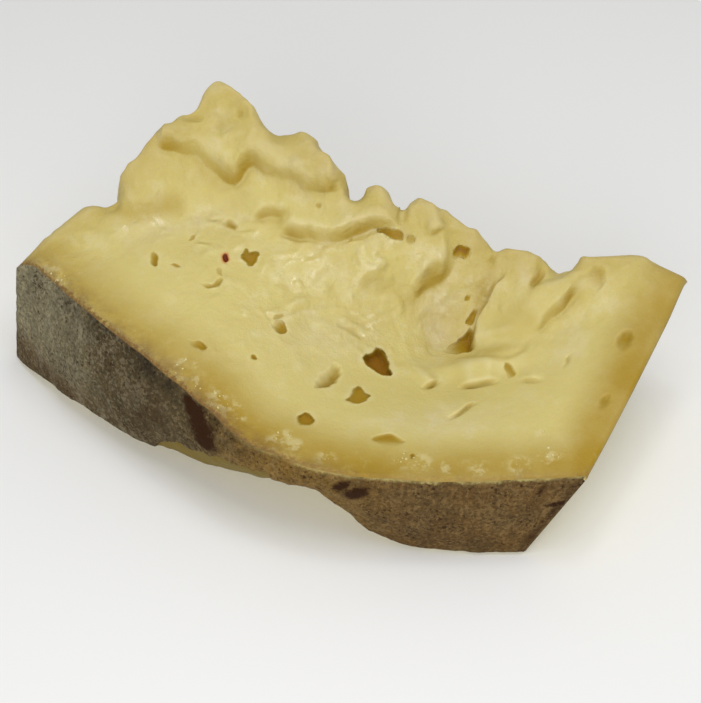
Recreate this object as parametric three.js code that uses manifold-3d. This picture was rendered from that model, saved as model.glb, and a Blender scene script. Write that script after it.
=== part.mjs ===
// A chunk of gruyere torn from its wheel, in millimetres, +Z up.
// The rind faces -Y, the knife cut faces +X, and the torn crags stand along the back and left.
import * as THREE from 'three';
import { mergeVertices } from 'three/addons/utils/BufferGeometryUtils.js';
import Module from 'manifold-3d';

// The wheel: its axis in plan, its radius, and the stretch of rind that the chunk keeps.
const WHEEL_X = 53;
const WHEEL_Y = 143;
const WHEEL_RADIUS = 221;
const RIM_ANGLES = [-151.9, -78.8];
const FOOT_ANGLES = [-152.9, -84.5];

// Stations along the rind, each a share of its length and a size.
const RIM_OFFSET = [[0, 8.7], [0.04, 2], [0.09, -1.5], [0.17, -4.2], [0.28, -6], [0.36, -4.5], [0.42, -2.4],
  [0.5, 3.3], [0.55, 3.6], [0.6, 4.5], [0.66, 3.4], [0.73, 0.5], [0.82, -1.1], [0.9, -1.4], [1, 1.2]];
const FOOT_OFFSET = [[0, 16], [0.12, 10], [0.25, 5], [0.4, 1], [0.8, 0], [1, 1.5]];
const RIM_TOP = [[0, 63], [0.1, 63.5], [0.2, 62.5], [0.3, 60.5], [0.36, 59], [0.42, 56.5], [0.47, 54],
  [0.52, 52.5], [0.66, 50.5], [0.8, 48.5], [1, 48]];
// The lower rind is broken away in an arch: the height of its edge, and how deep the break runs.
const RIM_LOW = [[0, 1.5], [0.1, 6.5], [0.2, 10.8], [0.3, 12.7], [0.36, 14.5], [0.4, 17], [0.45, 18],
  [0.5, 22], [0.55, 24.6], [0.6, 28.5], [0.64, 30.5], [0.66, 30], [0.7, 22.3], [0.75, 9], [0.8, 3.3],
  [0.85, 2], [1, 2]];
const BREAK_DEPTH = [[0, 3], [0.12, 12], [0.3, 30], [0.42, 44], [0.6, 46], [0.7, 30], [0.78, 8],
  [0.84, 3], [1, 3]];
const VAULT_POWER = 0.85;

// The torn ridges, lump by lump: the left one ends and the back one starts at the peak.
const LEFT_RIDGE = [[-149.5, 34.7, 63], [-146, 38, 66], [-138, 45, 71], [-126, 55, 76], [-120, 60, 78],
  [-112, 61, 78], [-109, 61, 75], [-107, 62.5, 75], [-106, 63.5, 79], [-105, 64.8, 89], [-103, 66.5, 92.5],
  [-98, 71, 95.5], [-94, 75, 100], [-89, 78, 104], [-85, 80, 106.5], [-80, 82, 108.5], [-76, 85.5, 109],
  [-72, 88, 108], [-69, 91, 111], [-67, 93, 116], [-62, 96, 119.5], [-58, 97, 120]];
const BACK_RIDGE = [[-58, 97, 120], [-54, 94.5, 120], [-49, 91, 119], [-45, 87, 118], [-41, 83, 116],
  [-39, 81, 111.5], [-36, 79, 106.5], [-31, 79, 101.5], [-27, 78, 104], [-22, 77, 108], [-18, 75, 108],
  [-14, 71, 107.5], [-9, 66, 101], [-4, 61, 97.5], [-1.5, 59, 97], [-0.3, 58, 92], [0.6, 58, 80],
  [2, 57, 79], [4, 57, 87], [9, 58, 93], [14, 57, 94], [18, 55, 91], [21, 54, 82], [23, 54, 81],
  [26, 53, 85], [29, 53, 89.5], [34, 51, 90], [46, 46, 85], [58, 40, 79], [62, 39, 75], [65, 38, 70.5],
  [68, 37, 75], [74, 35, 76], [81, 33, 75], [85, 32, 73], [88, 32, 66], [91, 31, 66], [95, 29, 63.5],
  [98, 29, 69], [101, 29, 77], [106, 28, 77], [127, 28, 78], [135, 24, 76], [147, 18, 72]];
// How far into the upper face the ridges reach, how closely it follows them, and how round they are on top.
const CRAG_REACH = 23;
const CRAG_FOOT = 1.35;
const CRAG_TAIL = 0.35;
const RIDGE_BLEND = 1.6;
const RIDGE_ROUNDING = 6;

// How far the foot of the walls stands from their upper edge, in plan, at the cut corner and at the peak.
const CUT_LEAN = [-29, -2];
const PEAK_LEAN = [-3, -8];
const CUT_BOW = [0.9, -0.45];
const FOOT_BEVEL = 3;
const FOOT_EDGE = 2;

// Rounding of the other upper edges, and how far each wall bulges and how uneven it is.
const ROUNDING = { front: 1, right: 2 };
const BULGE = { front: 3.5, right: 0, back: 5, left: 4 };
const ROUGHNESS = { front: 0, right: 0, back: 3, left: 3 };
const ROUGHNESS_POWER = 0.7;
const CORNER_SHARE = 1 / 6;
// Lumps of the torn walls: height, then turns a millimetre along, up and across, and a start.
const WALL_LUMPS = [[1, 0.11, 0.13, 0.05, 0], [0.6, 0.23, 0.2, -0.11, 1]];

// The upper face rises from the rind towards the wheel's axis.
const RISE = 0.12;

// Soft forms of the upper face: x, y, radius along, radius across, turn in degrees, height.
const FORMS = {
  bowl: [40, 2, 60, 42, 20, -20],
  pit: [44, 16, 17, 12, 25, -7],
  rightWall: [128, -2, 34, 60, -20, 13],
  dome: [12, 34, 26, 13, 8, 7],
  panel: [75, 8, 12, 18, -40, 5],
  fold: [92, 17, 26, 7, 24, 3],
  flap: [57, -7, 24, 6, 4, 3.5],
  leftSwell: [-86, 30, 40, 24, 35, 2],
  lowLobe: [-86, 64, 18, 10, 30, 3],
  hangingLobe: [-57.5, 73, 9, 5, -8, 4],
  middleLobe: [-36, 67.5, 9, 5, -25, 3],
  endLobe: [-12, 60, 11, 5, -25, 3],
};

// Torn ledges: a path with the high side on its left, then the lip's sizes and those of the groove below it.
const LEDGES = {
  cragLip: {
    path: [[-89, 73.5], [-81.5, 72], [-73.5, 72.4], [-67.3, 72.9], [-64, 70.2], [-60.5, 68.7], [-53.5, 65.3],
      [-48.8, 66.2], [-44, 67.2], [-38.6, 64.4], [-31.3, 61.8], [-27, 60.5], [-20.2, 55.8], [-12.6, 53.9],
      [-7.2, 53.4], [-2, 55]],
    height: 3.5, width: 2.2, overhang: 2.5, reach: 12, groove: 2, grooveWidth: 2.5,
  },
  secondLayer: {
    path: [[-33, 44.6], [-28, 44.5], [-22.5, 43.3], [-12.6, 40.5], [-4.3, 40], [4.2, 41.8], [13, 42.4],
      [22.3, 39.8]],
    height: 3.5, width: 2.2, overhang: 2.5, reach: 12, groove: 2, grooveWidth: 2.5,
  },
  domeLip: {
    path: [[2.3, 20.4], [8.6, 24.9], [16.6, 26], [23, 23.4]],
    height: 2, width: 3, overhang: 0.6, reach: 9, groove: 0.6, grooveWidth: 3,
  },
  pitBrow: {
    path: [[26, 21.6], [30, 26], [36.6, 28.5], [43, 30.5], [48, 32.7]],
    height: 3.5, width: 2.2, overhang: 2.2, reach: 10, groove: 2, grooveWidth: 2.2,
  },
  panelEdge: {
    path: [[62.7, 21.8], [57.7, 18.9], [55.6, 16.8], [55, 10], [54.5, 1.4]],
    height: 3, width: 2, overhang: 1, reach: 12, groove: 1.2, grooveWidth: 2,
  },
  flapFoot: {
    path: [[46, -19.5], [56, -17.8], [66, -17.3]],
    height: 2, width: 1.5, overhang: 1, reach: 8, groove: 1.3, grooveWidth: 1.5,
  },
};
// A lip's step starts before its path, and its overhang is centred beyond it, in lip widths.
const LIP_START = -0.3;
const LEAN_CENTRE = 0.8;
const LEAN_SPREAD = 1.2;
const GROOVE_OFFSET = 0.4;
// Relief fades out over the last millimetres of its path, past its ends, and by the chunk's edges.
const END_FADE = 7;
const PAST_FADE = 2;
const EDGE_MARGIN = 4;
const LEAN_MARGIN = 8;

// Folds and creases.
const GROOVES = {
  blockSide: { path: [[22, 50], [23.2, 43.6], [24, 39.5], [26.7, 36.3], [29.8, 34]], depth: 2, width: 2 },
  faceCrease: { path: [[63.7, 35.8], [63, 32.4], [60, 29.2]], depth: 2, width: 1.6 },
  pillarGroove: { path: [[86.4, 29], [83.7, 24.3], [81.3, 21.4], [77.8, 16]], depth: 3, width: 1.6 },
  foldCrease: {
    path: [[100, 15.5], [94.4, 13.3], [89.7, 9], [82.8, 4.7], [77, -1.4], [74.5, -6], [65, -8]],
    depth: 1.6,
    width: 1.6,
  },
  lumpFoot: {
    path: [[-110.5, 57.8], [-98.4, 52], [-91, 52], [-77.2, 56], [-71, 56.7]],
    depth: 1.5,
    width: 4,
  },
};

// The larger eyes of the cheese: x, y, radius along, radius across, turn in degrees, depth.
const EYES = {
  wallOval: [107, 18, 5, 7, 0, 3],
  wallRound: [116, -14, 5, 6, 0, 4],
  wallLow: [106, -42, 3, 4.5, 0, 3],
  tornTriangle: [-44, 32, 3.2, 4.5, 0, 5],
  softPit: [-55, 49, 3.2, 5, 0, 2.5],
  smallOval: [-31, 2, 3, 4.5, 20, 3],
  rindSide: [-65, -14, 3.3, 2.4, -20, 3],
  wedge: [-10, -21, 7, 5, 30, 3],
  deep: [12, -8, 5.5, 6.5, -30, 9],
  deepSmall: [4, -30, 4, 3.7, 0, 6],
  round: [-19, -46, 3.3, 3, 0, 5],
  lens: [16, -54, 7.5, 3.8, 0, 2],
  pitHole: [47, 11, 6, 4.5, 20, 7],
};

// How finely the solid is divided.
const ALONG = 70;
const ACROSS = 30;
const ROWS_DOWN = 7;
const ROWS_UNDER = 3;
const BASE_RINGS = 2;
const BASE_CENTRE = [-10, 22];
const PATH_STEPS = 30;
const RIDGE_STEPS = { left: 60, back: 130 };
const EYE_SIDES = 10;
const EYE_RINGS = 6;

const PASTE_COLOUR = 0xd6c384;

function smooth(from, to, x) {
  const t = Math.min(Math.max((x - from) / (to - from), 0), 1);
  return t * t * (3 - 2 * t);
}

function bell(x) {
  return Math.exp(-x * x);
}

function mix(a, b, t) {
  return a.map((value, k) => value + (b[k] - value) * t);
}

// A size read from its stations at a share of the length.
function station(table, share) {
  let k = 0;
  while (k < table.length - 2 && table[k + 1][0] < share) {
    k += 1;
  }
  const [[from, low], [to, high]] = [table[k], table[k + 1]];
  const t = (share - from) / (to - from);
  return low + (high - low) * (smooth(0, 1, t) + t) / 2;
}

// Evenly spaced points of a smooth curve through the given ones.
function curvePoints(points, count) {
  const vectors = points.map(([x, y, z = 0]) => new THREE.Vector3(x, y, z));
  const curve = new THREE.CatmullRomCurve3(vectors, false, 'catmullrom');
  return curve.getSpacedPoints(count).map((p) => p.toArray());
}

// Where a plan point lies by a path: its distance (positive on the left), its share of the length,
// and how far past an end it is.
function besidePath(x, y, path) {
  let best = { distance: Infinity };
  for (let k = 0; k < path.length - 1; k += 1) {
    const [ax, ay] = path[k];
    const dx = path[k + 1][0] - ax;
    const dy = path[k + 1][1] - ay;
    const length = Math.hypot(dx, dy);
    const free = ((x - ax) * dx + (y - ay) * dy) / length ** 2;
    const t = Math.min(Math.max(free, 0), 1);
    const offX = x - ax - t * dx;
    const offY = y - ay - t * dy;
    const distance = Math.hypot(offX, offY);
    if (distance < Math.abs(best.distance)) {
      const atEnd = (k === 0 && free < 0) || (k === path.length - 2 && free > 1);
      best = {
        distance: distance * (dx * offY - dy * offX < 0 ? -1 : 1),
        share: (k + t) / (path.length - 1),
        past: atEnd ? Math.abs(free - t) * length : 0,
      };
    }
  }
  return best;
}

// A relief feature fades out towards its path's ends, and past them.
function endFade(place, length) {
  const ends = Math.min(END_FADE / length, 0.5);
  return smooth(0, ends, place.share) * smooth(0, ends, 1 - place.share) * bell(place.past / PAST_FADE);
}

// A feature with its path made a curve, the curve's length, and the direction of its low side.
function withCurve(feature) {
  const path = curvePoints(feature.path, PATH_STEPS);
  const steps = path.slice(1).map(([x, y], k) => Math.hypot(x - path[k][0], y - path[k][1]));
  const chord = [0, 1].map((k) => path[PATH_STEPS][k] - path[0][k]);
  const lowSide = [chord[1] / Math.hypot(...chord), -chord[0] / Math.hypot(...chord)];
  return { ...feature, path, lowSide, length: steps.reduce((a, b) => a + b) };
}

const ledges = Object.values(LEDGES).map(withCurve);
const grooves = Object.values(GROOVES).map(withCurve);

// Height and plan shift that the ledges and grooves add at a plan point.
function relief(x, y) {
  let height = 0;
  const shift = [0, 0];
  for (const ledge of ledges) {
    const place = besidePath(x, y, ledge.path);
    const fade = endFade(place, ledge.length);
    const { width, grooveWidth } = ledge;
    const beyond = Math.max(place.distance - width, 0) / ledge.reach;
    height += fade * ledge.height * smooth(LIP_START * width, width, place.distance) / (1 + beyond ** 2);
    height -= fade * ledge.groove * bell(place.distance / grooveWidth + GROOVE_OFFSET);
    const lean = fade * ledge.overhang * bell((place.distance / width - LEAN_CENTRE) / LEAN_SPREAD);
    shift[0] += lean * ledge.lowSide[0];
    shift[1] += lean * ledge.lowSide[1];
  }
  for (const groove of grooves) {
    const place = besidePath(x, y, groove.path);
    height -= endFade(place, groove.length) * groove.depth * bell(place.distance / groove.width);
  }
  return { height, shift };
}

function formHeight(x, y) {
  let height = 0;
  for (const [centreX, centreY, along, across, turn, size] of Object.values(FORMS)) {
    const angle = THREE.MathUtils.degToRad(turn);
    const p = (x - centreX) * Math.cos(angle) + (y - centreY) * Math.sin(angle);
    const q = (y - centreY) * Math.cos(angle) - (x - centreX) * Math.sin(angle);
    height += size * bell(Math.hypot(p / along, q / across));
  }
  return height;
}

// The upper face without its crags: the rind's edge height, carried inwards and rising.
function baseHeight(x, y) {
  const inwards = WHEEL_RADIUS - Math.hypot(x - WHEEL_X, y - WHEEL_Y);
  const angle = THREE.MathUtils.radToDeg(Math.atan2(y - WHEEL_Y, x - WHEEL_X));
  const share = (angle - RIM_ANGLES[0]) / (RIM_ANGLES[1] - RIM_ANGLES[0]);
  return station(RIM_TOP, Math.min(Math.max(share, 0), 1)) + RISE * Math.max(inwards, 0) + formHeight(x, y);
}

// A point on the wheel's side.
function wheelPoint(angles, offsets, share) {
  const angle = THREE.MathUtils.degToRad(angles[0] + (angles[1] - angles[0]) * share);
  const radius = WHEEL_RADIUS + station(offsets, share);
  return [WHEEL_X + radius * Math.cos(angle), WHEEL_Y + radius * Math.sin(angle)];
}

// How a crag falls away from its ridge, and how an edge is rounded off.
function cragFall(distance) {
  const slope = smooth(CRAG_FOOT * CRAG_REACH, 0, distance);
  return CRAG_TAIL * bell(distance / CRAG_REACH) + (1 - CRAG_TAIL) * slope;
}

function roundOff(distance, radius) {
  const t = Math.min(Math.max(1 - distance / radius, 0), 1);
  return radius * (1 - Math.sqrt(1 - t * t));
}

// The left ridge, its first end brought to the rind's left end.
function leftRidge(count) {
  const corner = wheelPoint(RIM_ANGLES, RIM_OFFSET, 0);
  return curvePoints(LEFT_RIDGE, count).map(([x, y, z], k) => {
    const share = 1 - k / count;
    return [x + share * (corner[0] - LEFT_RIDGE[0][0]), y + share * (corner[1] - LEFT_RIDGE[0][1]), z];
  });
}

// Both ridges as closely spaced points, each with its rise above the face and the length it stands for.
function ridgePoints() {
  const points = [...leftRidge(RIDGE_STEPS.left), ...curvePoints(BACK_RIDGE, RIDGE_STEPS.back).slice(1)];
  const steps = points.slice(1).map(([x, y], k) => Math.hypot(x - points[k][0], y - points[k][1]));
  return points.map(([x, y, z], k) => {
    const rise = z - baseHeight(x, y) - relief(x, y).height;
    return { x, y, rise, part: ((steps[k - 1] ?? 0) + (steps[k] ?? 0)) / 2 };
  });
}

// The ridges' rise carried to a plan point, its lumps blending away from them, and the distance from them.
function besideRidge(ridge, x, y) {
  let near = 0;
  let carried = 0;
  for (const point of ridge) {
    const weight = point.part / ((x - point.x) ** 2 + (y - point.y) ** 2 + RIDGE_BLEND ** 2) ** 2;
    near += weight;
    carried += weight * point.rise;
  }
  const blended = Math.cbrt(Math.PI / 2 / near);
  return { rise: carried / near, away: Math.sqrt(Math.max(blended ** 2 - RIDGE_BLEND ** 2, 0)) };
}

// The four upper edges of the chunk in plan.
function upperEdges() {
  const front = [];
  for (let i = 0; i <= ALONG; i += 1) {
    front.push(wheelPoint(RIM_ANGLES, RIM_OFFSET, i / ALONG));
  }
  const back = curvePoints(BACK_RIDGE, ALONG);
  const left = leftRidge(ACROSS);
  const right = [];
  for (let j = 0; j <= ACROSS; j += 1) {
    const v = j / ACROSS;
    const bow = Math.sin(Math.PI * v);
    right.push(mix(front[ALONG], back[ALONG], v).map((x, k) => x + CUT_BOW[k] * bow));
  }
  return { front, right, back, left };
}

// The upper face as a grid of points, spanned between its four edges.
function upperFace() {
  const { front, right, back, left } = upperEdges();
  const ridge = ridgePoints();
  const rows = [];
  for (let i = 0; i <= ALONG; i += 1) {
    const u = i / ALONG;
    const depth = Math.hypot(back[i][0] - front[i][0], back[i][1] - front[i][1]);
    rows.push([]);
    for (let j = 0; j <= ACROSS; j += 1) {
      const v = j / ACROSS;
      const width = Math.hypot(right[j][0] - left[j][0], right[j][1] - left[j][1]);
      const across = mix(front[i], back[i].slice(0, 2), v);
      const along = mix(left[j].slice(0, 2), right[j], u);
      const corners = mix(mix(front[0], back[0], v), mix(front[ALONG], back[ALONG], v), u);
      const plan = across.map((x, k) => x + along[k] - corners[k]);
      const from = { front: v * depth, right: (1 - u) * width };
      const { height, shift } = relief(...plan);
      const { rise, away } = besideRidge(ridge, ...plan);
      const inside = smooth(0, EDGE_MARGIN, Math.min(from.front, from.right));
      const lean = inside * smooth(0, LEAN_MARGIN, away);
      let z = baseHeight(...plan) + height * inside + rise * cragFall(away) - roundOff(away, RIDGE_ROUNDING);
      for (const side of Object.keys(ROUNDING)) {
        z -= roundOff(from[side], ROUNDING[side]);
      }
      rows[i].push([plan[0] + lean * shift[0], plan[1] + lean * shift[1], z]);
    }
  }
  return rows;
}

// The grid indices of the upper face's outer edge, round from the left end of the rind.
function edgeLoop() {
  const loop = [];
  for (let i = 0; i < ALONG; i += 1) {
    loop.push({ side: 'front', i, j: 0, share: i / ALONG });
  }
  for (let j = 0; j < ACROSS; j += 1) {
    loop.push({ side: 'right', i: ALONG, j, share: j / ACROSS });
  }
  for (let i = ALONG; i > 0; i -= 1) {
    loop.push({ side: 'back', i, j: ACROSS, share: i / ALONG });
  }
  for (let j = ACROSS; j > 0; j -= 1) {
    loop.push({ side: 'left', i: 0, j, share: j / ACROSS });
  }
  return loop;
}

// Soft lumps of a torn wall.
function lumps(x, z) {
  let height = 0;
  for (const [size, along, up, across, start] of WALL_LUMPS) {
    height += size * Math.sin(along * x + across * z + start) * Math.sin(up * z + across * x + 2 * start);
  }
  return height;
}

// The walls' columns: each goes from the upper edge to its foot, then under to the flat base.
function wallColumns(face, loop) {
  const frontFoot = (share) => wheelPoint(FOOT_ANGLES, FOOT_OFFSET, share);
  const leftLean = frontFoot(0).map((x, k) => x - face[0][0][k]);
  const rightLean = frontFoot(1).map((x, k) => x - face[ALONG][0][k]);
  const leans = { right: [rightLean, CUT_LEAN], back: [PEAK_LEAN, CUT_LEAN], left: [leftLean, PEAK_LEAN] };
  const columns = loop.map(({ side, i, j, share }) => {
    const top = face[i][j];
    const front = side === 'front';
    const lean = front ? null : mix(...leans[side], share);
    const foot = front ? frontFoot(share) : [top[0] + lean[0], top[1] + lean[1]];
    const low = front ? station(RIM_LOW, share) : FOOT_EDGE;
    const inset = front ? station(BREAK_DEPTH, share) : FOOT_BEVEL;
    const middle = Math.min(1, Math.min(share, 1 - share) / CORNER_SHARE);
    return { side, top, foot, low, inset, middle };
  });
  columns.forEach((column, k) => {
    const before = columns[(k + columns.length - 1) % columns.length].foot;
    const after = columns[(k + 1) % columns.length].foot;
    const tangent = [after[0] - before[0], after[1] - before[1]];
    const length = Math.hypot(...tangent);
    column.out = [tangent[1] / length, -tangent[0] / length];
  });
  return columns;
}

// A point of a wall's column: a share of the way down to the foot, then a share of the way under.
function wallPoint({ side, top, foot, low, inset, middle, out }, down, under) {
  const [x, y] = mix(top.slice(0, 2), foot, down);
  const vault = under < 1 ? low * Math.cos(under * Math.PI / 2) ** VAULT_POWER : 0;
  const z = under > 0 ? vault : top[2] + (low - top[2]) * down;
  const swell = Math.max(Math.sin(Math.PI * down), 0);
  const uneven = ROUGHNESS[side] * lumps(x, z) * swell ** ROUGHNESS_POWER;
  const push = middle * (BULGE[side] * swell + uneven);
  const move = push - inset * under;
  return [x + move * out[0], y + move * out[1], z];
}

// The whole chunk as one closed surface: upper face, walls, and a flat base closed towards its middle.
function chunkGeometry() {
  const face = upperFace();
  const loop = edgeLoop();
  const columns = wallColumns(face, loop);
  const positions = face.flat();
  const index = [];
  const quad = (a, b, c, d) => index.push(a, b, c, a, c, d);
  const onFace = (i, j) => i * (ACROSS + 1) + j;
  for (let i = 0; i < ALONG; i += 1) {
    for (let j = 0; j < ACROSS; j += 1) {
      quad(onFace(i, j), onFace(i + 1, j), onFace(i + 1, j + 1), onFace(i, j + 1));
    }
  }
  let ring = loop.map(({ i, j }) => onFace(i, j));
  const join = (points) => {
    const next = points.map((p) => positions.push(p) - 1);
    ring.forEach((from, k) => {
      const after = (k + 1) % ring.length;
      quad(from, next[k], next[after], ring[after]);
    });
    ring = next;
  };
  for (let row = 1; row <= ROWS_DOWN; row += 1) {
    join(columns.map((column) => wallPoint(column, row / ROWS_DOWN, 0)));
  }
  for (let row = 1; row <= ROWS_UNDER; row += 1) {
    join(columns.map((column) => wallPoint(column, 1, row / ROWS_UNDER)));
  }
  const rim = ring.map((k) => positions[k]);
  for (let r = 1; r < BASE_RINGS; r += 1) {
    join(rim.map((p) => [...mix(p.slice(0, 2), BASE_CENTRE, r / BASE_RINGS), 0]));
  }
  const centre = positions.push([...BASE_CENTRE, 0]) - 1;
  ring.forEach((from, k) => index.push(from, centre, ring[(k + 1) % ring.length]));
  const geometry = new THREE.BufferGeometry();
  geometry.setAttribute('position', new THREE.Float32BufferAttribute(positions.flat(), 3));
  geometry.setIndex(index);
  return { geometry, face: face.flat() };
}

// The height of the upper face at its nearest grid point.
function faceHeight(face, x, y) {
  const gap = (point) => Math.hypot(point[0] - x, point[1] - y);
  return face.reduce((a, b) => (gap(b) < gap(a) ? b : a))[2];
}

function eyeGeometry([x, y, along, across, turn, depth], height) {
  const sphere = new THREE.SphereGeometry(1, EYE_SIDES, EYE_RINGS);
  sphere.deleteAttribute('normal');
  sphere.deleteAttribute('uv');
  const geometry = mergeVertices(sphere);
  geometry.rotateX(Math.PI / 2);
  geometry.scale(along, across, depth);
  geometry.rotateZ(THREE.MathUtils.degToRad(turn));
  geometry.translate(x, y, height);
  return geometry;
}

const wasm = await Module();
wasm.setup();

function toSolid(geometry) {
  const vertProperties = new Float32Array(geometry.attributes.position.array);
  const triVerts = new Uint32Array(geometry.index.array);
  return new wasm.Manifold(new wasm.Mesh({ numProp: 3, vertProperties, triVerts }));
}

function toGeometry(solid) {
  const mesh = solid.getMesh();
  const geometry = new THREE.BufferGeometry();
  geometry.setAttribute('position', new THREE.BufferAttribute(mesh.vertProperties, 3));
  geometry.setIndex(new THREE.BufferAttribute(mesh.triVerts, 1));
  return geometry;
}

// The chunk with its eyes, its origin under the middle of its box.
function carvedChunk() {
  const { geometry, face } = chunkGeometry();
  let solid = toSolid(geometry);
  for (const eye of Object.values(EYES)) {
    solid = solid.subtract(toSolid(eyeGeometry(eye, faceHeight(face, eye[0], eye[1]))));
  }
  const carved = toGeometry(solid);
  carved.computeBoundingBox();
  const middle = carved.boundingBox.getCenter(new THREE.Vector3());
  carved.translate(-middle.x, -middle.y, -carved.boundingBox.min.z);
  carved.computeVertexNormals();
  return carved;
}

const material = new THREE.MeshStandardMaterial({ color: PASTE_COLOUR, roughness: 0.5, metalness: 0 });
const chunk = new THREE.Mesh(carvedChunk(), material);
chunk.name = 'gruyere_chunk';

const group = new THREE.Group();
group.add(chunk);

export default group;
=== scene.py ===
"""A torn chunk of gruyere: its paste, rind, eyes and crumbs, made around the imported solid."""

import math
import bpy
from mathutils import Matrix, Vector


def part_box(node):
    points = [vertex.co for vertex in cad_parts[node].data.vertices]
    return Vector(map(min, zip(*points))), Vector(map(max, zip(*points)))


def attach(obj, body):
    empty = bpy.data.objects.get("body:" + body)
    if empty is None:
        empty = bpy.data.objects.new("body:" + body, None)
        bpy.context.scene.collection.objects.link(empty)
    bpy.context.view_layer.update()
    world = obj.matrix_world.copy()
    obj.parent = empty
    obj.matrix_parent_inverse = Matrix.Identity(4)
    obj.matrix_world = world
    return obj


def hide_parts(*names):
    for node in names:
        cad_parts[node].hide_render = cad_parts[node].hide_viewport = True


bl_info = {
    "name": "Gruyere chunk",
    "version": (1, 0, 0),
    "blender": (4, 5, 0),
    "location": "View3D > Sidebar > Gruyere",
    "description": "Makes a torn chunk of gruyere with its rind, eyes and crumbs",
    "category": "Object",
}

from collections import namedtuple
from functools import partial

import bmesh
import bpy
import numpy as np
from mathutils import Vector

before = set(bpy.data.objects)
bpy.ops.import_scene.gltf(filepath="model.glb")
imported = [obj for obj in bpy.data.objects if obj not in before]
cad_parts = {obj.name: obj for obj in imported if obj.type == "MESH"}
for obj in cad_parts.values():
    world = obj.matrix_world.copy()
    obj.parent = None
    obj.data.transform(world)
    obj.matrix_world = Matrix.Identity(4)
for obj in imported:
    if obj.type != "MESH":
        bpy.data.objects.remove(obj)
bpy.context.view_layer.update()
NODE = "gruyere_chunk"
NODE_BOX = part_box(NODE)
BODY = "root"
MM = 0.001

# The wheel, in millimetres: its axis in plan, its radius, and the stretch of rind that the chunk keeps.
WHEEL = np.array([53.0, 143.0])
WHEEL_RADIUS = 221
RIM_ANGLES = (-151.9, -78.8)
FOOT_ANGLES = (-152.9, -84.5)

# Stations along the rind, each a share of its length and a size.
RIM_OFFSET = [(0, 8.7), (0.04, 2), (0.09, -1.5), (0.17, -4.2), (0.28, -6), (0.36, -4.5), (0.42, -2.4),
              (0.5, 3.3), (0.55, 3.6), (0.6, 4.5), (0.66, 3.4), (0.73, 0.5), (0.82, -1.1), (0.9, -1.4),
              (1, 1.2)]
FOOT_OFFSET = [(0, 16), (0.12, 10), (0.25, 5), (0.4, 1), (0.8, 0), (1, 1.5)]
RIM_TOP = [(0, 63), (0.1, 63.5), (0.2, 62.5), (0.3, 60.5), (0.36, 59), (0.42, 56.5), (0.47, 54),
           (0.52, 52.5), (0.66, 50.5), (0.8, 48.5), (1, 48)]
# The lower rind is broken away in an arch: its edge's height, the break's depth, and the paste that shows
# below.
RIM_LOW = [(0, 1.5), (0.1, 6.5), (0.2, 10.8), (0.3, 12.7), (0.36, 14.5), (0.4, 17), (0.45, 18), (0.5, 22),
           (0.55, 24.6), (0.6, 28.5), (0.64, 30.5), (0.66, 30), (0.7, 22.3), (0.75, 9), (0.8, 3.3),
           (0.85, 2), (1, 2)]
BREAK_DEPTH = [(0, 3), (0.12, 12), (0.3, 30), (0.42, 44), (0.6, 46), (0.7, 30), (0.78, 8), (0.84, 3), (1, 3)]
BARE_STRIP = [(0, -4), (0.345, -4), (0.37, 5), (0.4, 11), (0.45, 13.3), (0.5, 14.6), (0.53, 14.3),
              (0.55, 12.3), (0.575, 8.3), (0.6, 6.3), (0.63, 2), (0.65, -4), (1, -4)]
BARE_SINK = 1.2

# The torn ridges, lump by lump and notch by notch: the left one ends and the back one starts at the peak.
LEFT_RIDGE = [(-149.5, 34.7, 63), (-146, 38, 66), (-138, 45, 71), (-126, 55, 76), (-120, 60, 78),
              (-112, 61, 78), (-109, 61, 75), (-107, 62.5, 75), (-106, 63.5, 79), (-105, 64.8, 89),
              (-103, 66.5, 92.5), (-98, 71, 95.5), (-94, 75, 100), (-89, 78, 104), (-85, 80, 106.5),
              (-80, 82, 108.5), (-76, 85.5, 109), (-72, 88, 108), (-69, 91, 111), (-67, 93, 116),
              (-62, 96, 119.5), (-58, 97, 120)]
BACK_RIDGE = [(-58, 97, 120), (-54, 94.5, 120), (-49, 91, 119), (-45, 87, 118), (-41, 83, 116),
              (-39, 81, 111.5), (-36, 79, 106.5), (-31, 79, 101.5), (-27, 78, 104), (-22, 77, 108),
              (-18, 75, 108), (-14, 71, 107.5), (-9, 66, 101), (-4, 61, 97.5), (-1.5, 59, 97),
              (-0.3, 58, 92), (0.6, 58, 80), (2, 57, 79), (4, 57, 87), (9, 58, 93), (14, 57, 94),
              (18, 55, 91), (21, 54, 82), (23, 54, 81), (26, 53, 85), (29, 53, 89.5), (34, 51, 90),
              (46, 46, 85), (58, 40, 79), (62, 39, 75), (65, 38, 70.5), (68, 37, 75), (74, 35, 76),
              (81, 33, 75), (85, 32, 73), (88, 32, 66), (91, 31, 66), (95, 29, 63.5), (98, 29, 69),
              (101, 29, 77), (106, 28, 77), (127, 28, 78), (135, 24, 76), (147, 18, 72)]
# How far into the upper face the ridges reach, how closely it follows their lumps, and how round they are
# on top.
CRAG_REACH = 23
RIDGE_BLEND = 1.2
RIDGE_ROUNDING = 6

# How far the foot of the walls stands from their upper edge, in plan, at the cut corner and at the peak.
CUT_LEAN = np.array([-29.0, -2.0])
PEAK_LEAN = np.array([-3.0, -8.0])
CUT_BOW = np.array([0.9, -0.45])
FOOT_BEVEL = 3
FOOT_EDGE = 2
# How many columns to either side tell which way a wall faces.
FOOT_REACH = 20

# Rounding of the other upper edges, and the bulge, unevenness and torn share of the front, right, back and
# left walls.
ROUNDING = {"front": 1, "right": 2}
BULGE = np.array([3.5, 0, 5, 4])
ROUGHNESS = np.array([0, 0, 3, 3])
WALL_TORN = np.array([0, 0.05, 0.8, 0.8])
# Lumps of the torn walls: height, then turns a millimetre along, up and across, and a start.
WALL_LUMPS = [(1, 0.11, 0.13, 0.05, 0), (0.6, 0.23, 0.2, -0.11, 1)]

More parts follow.
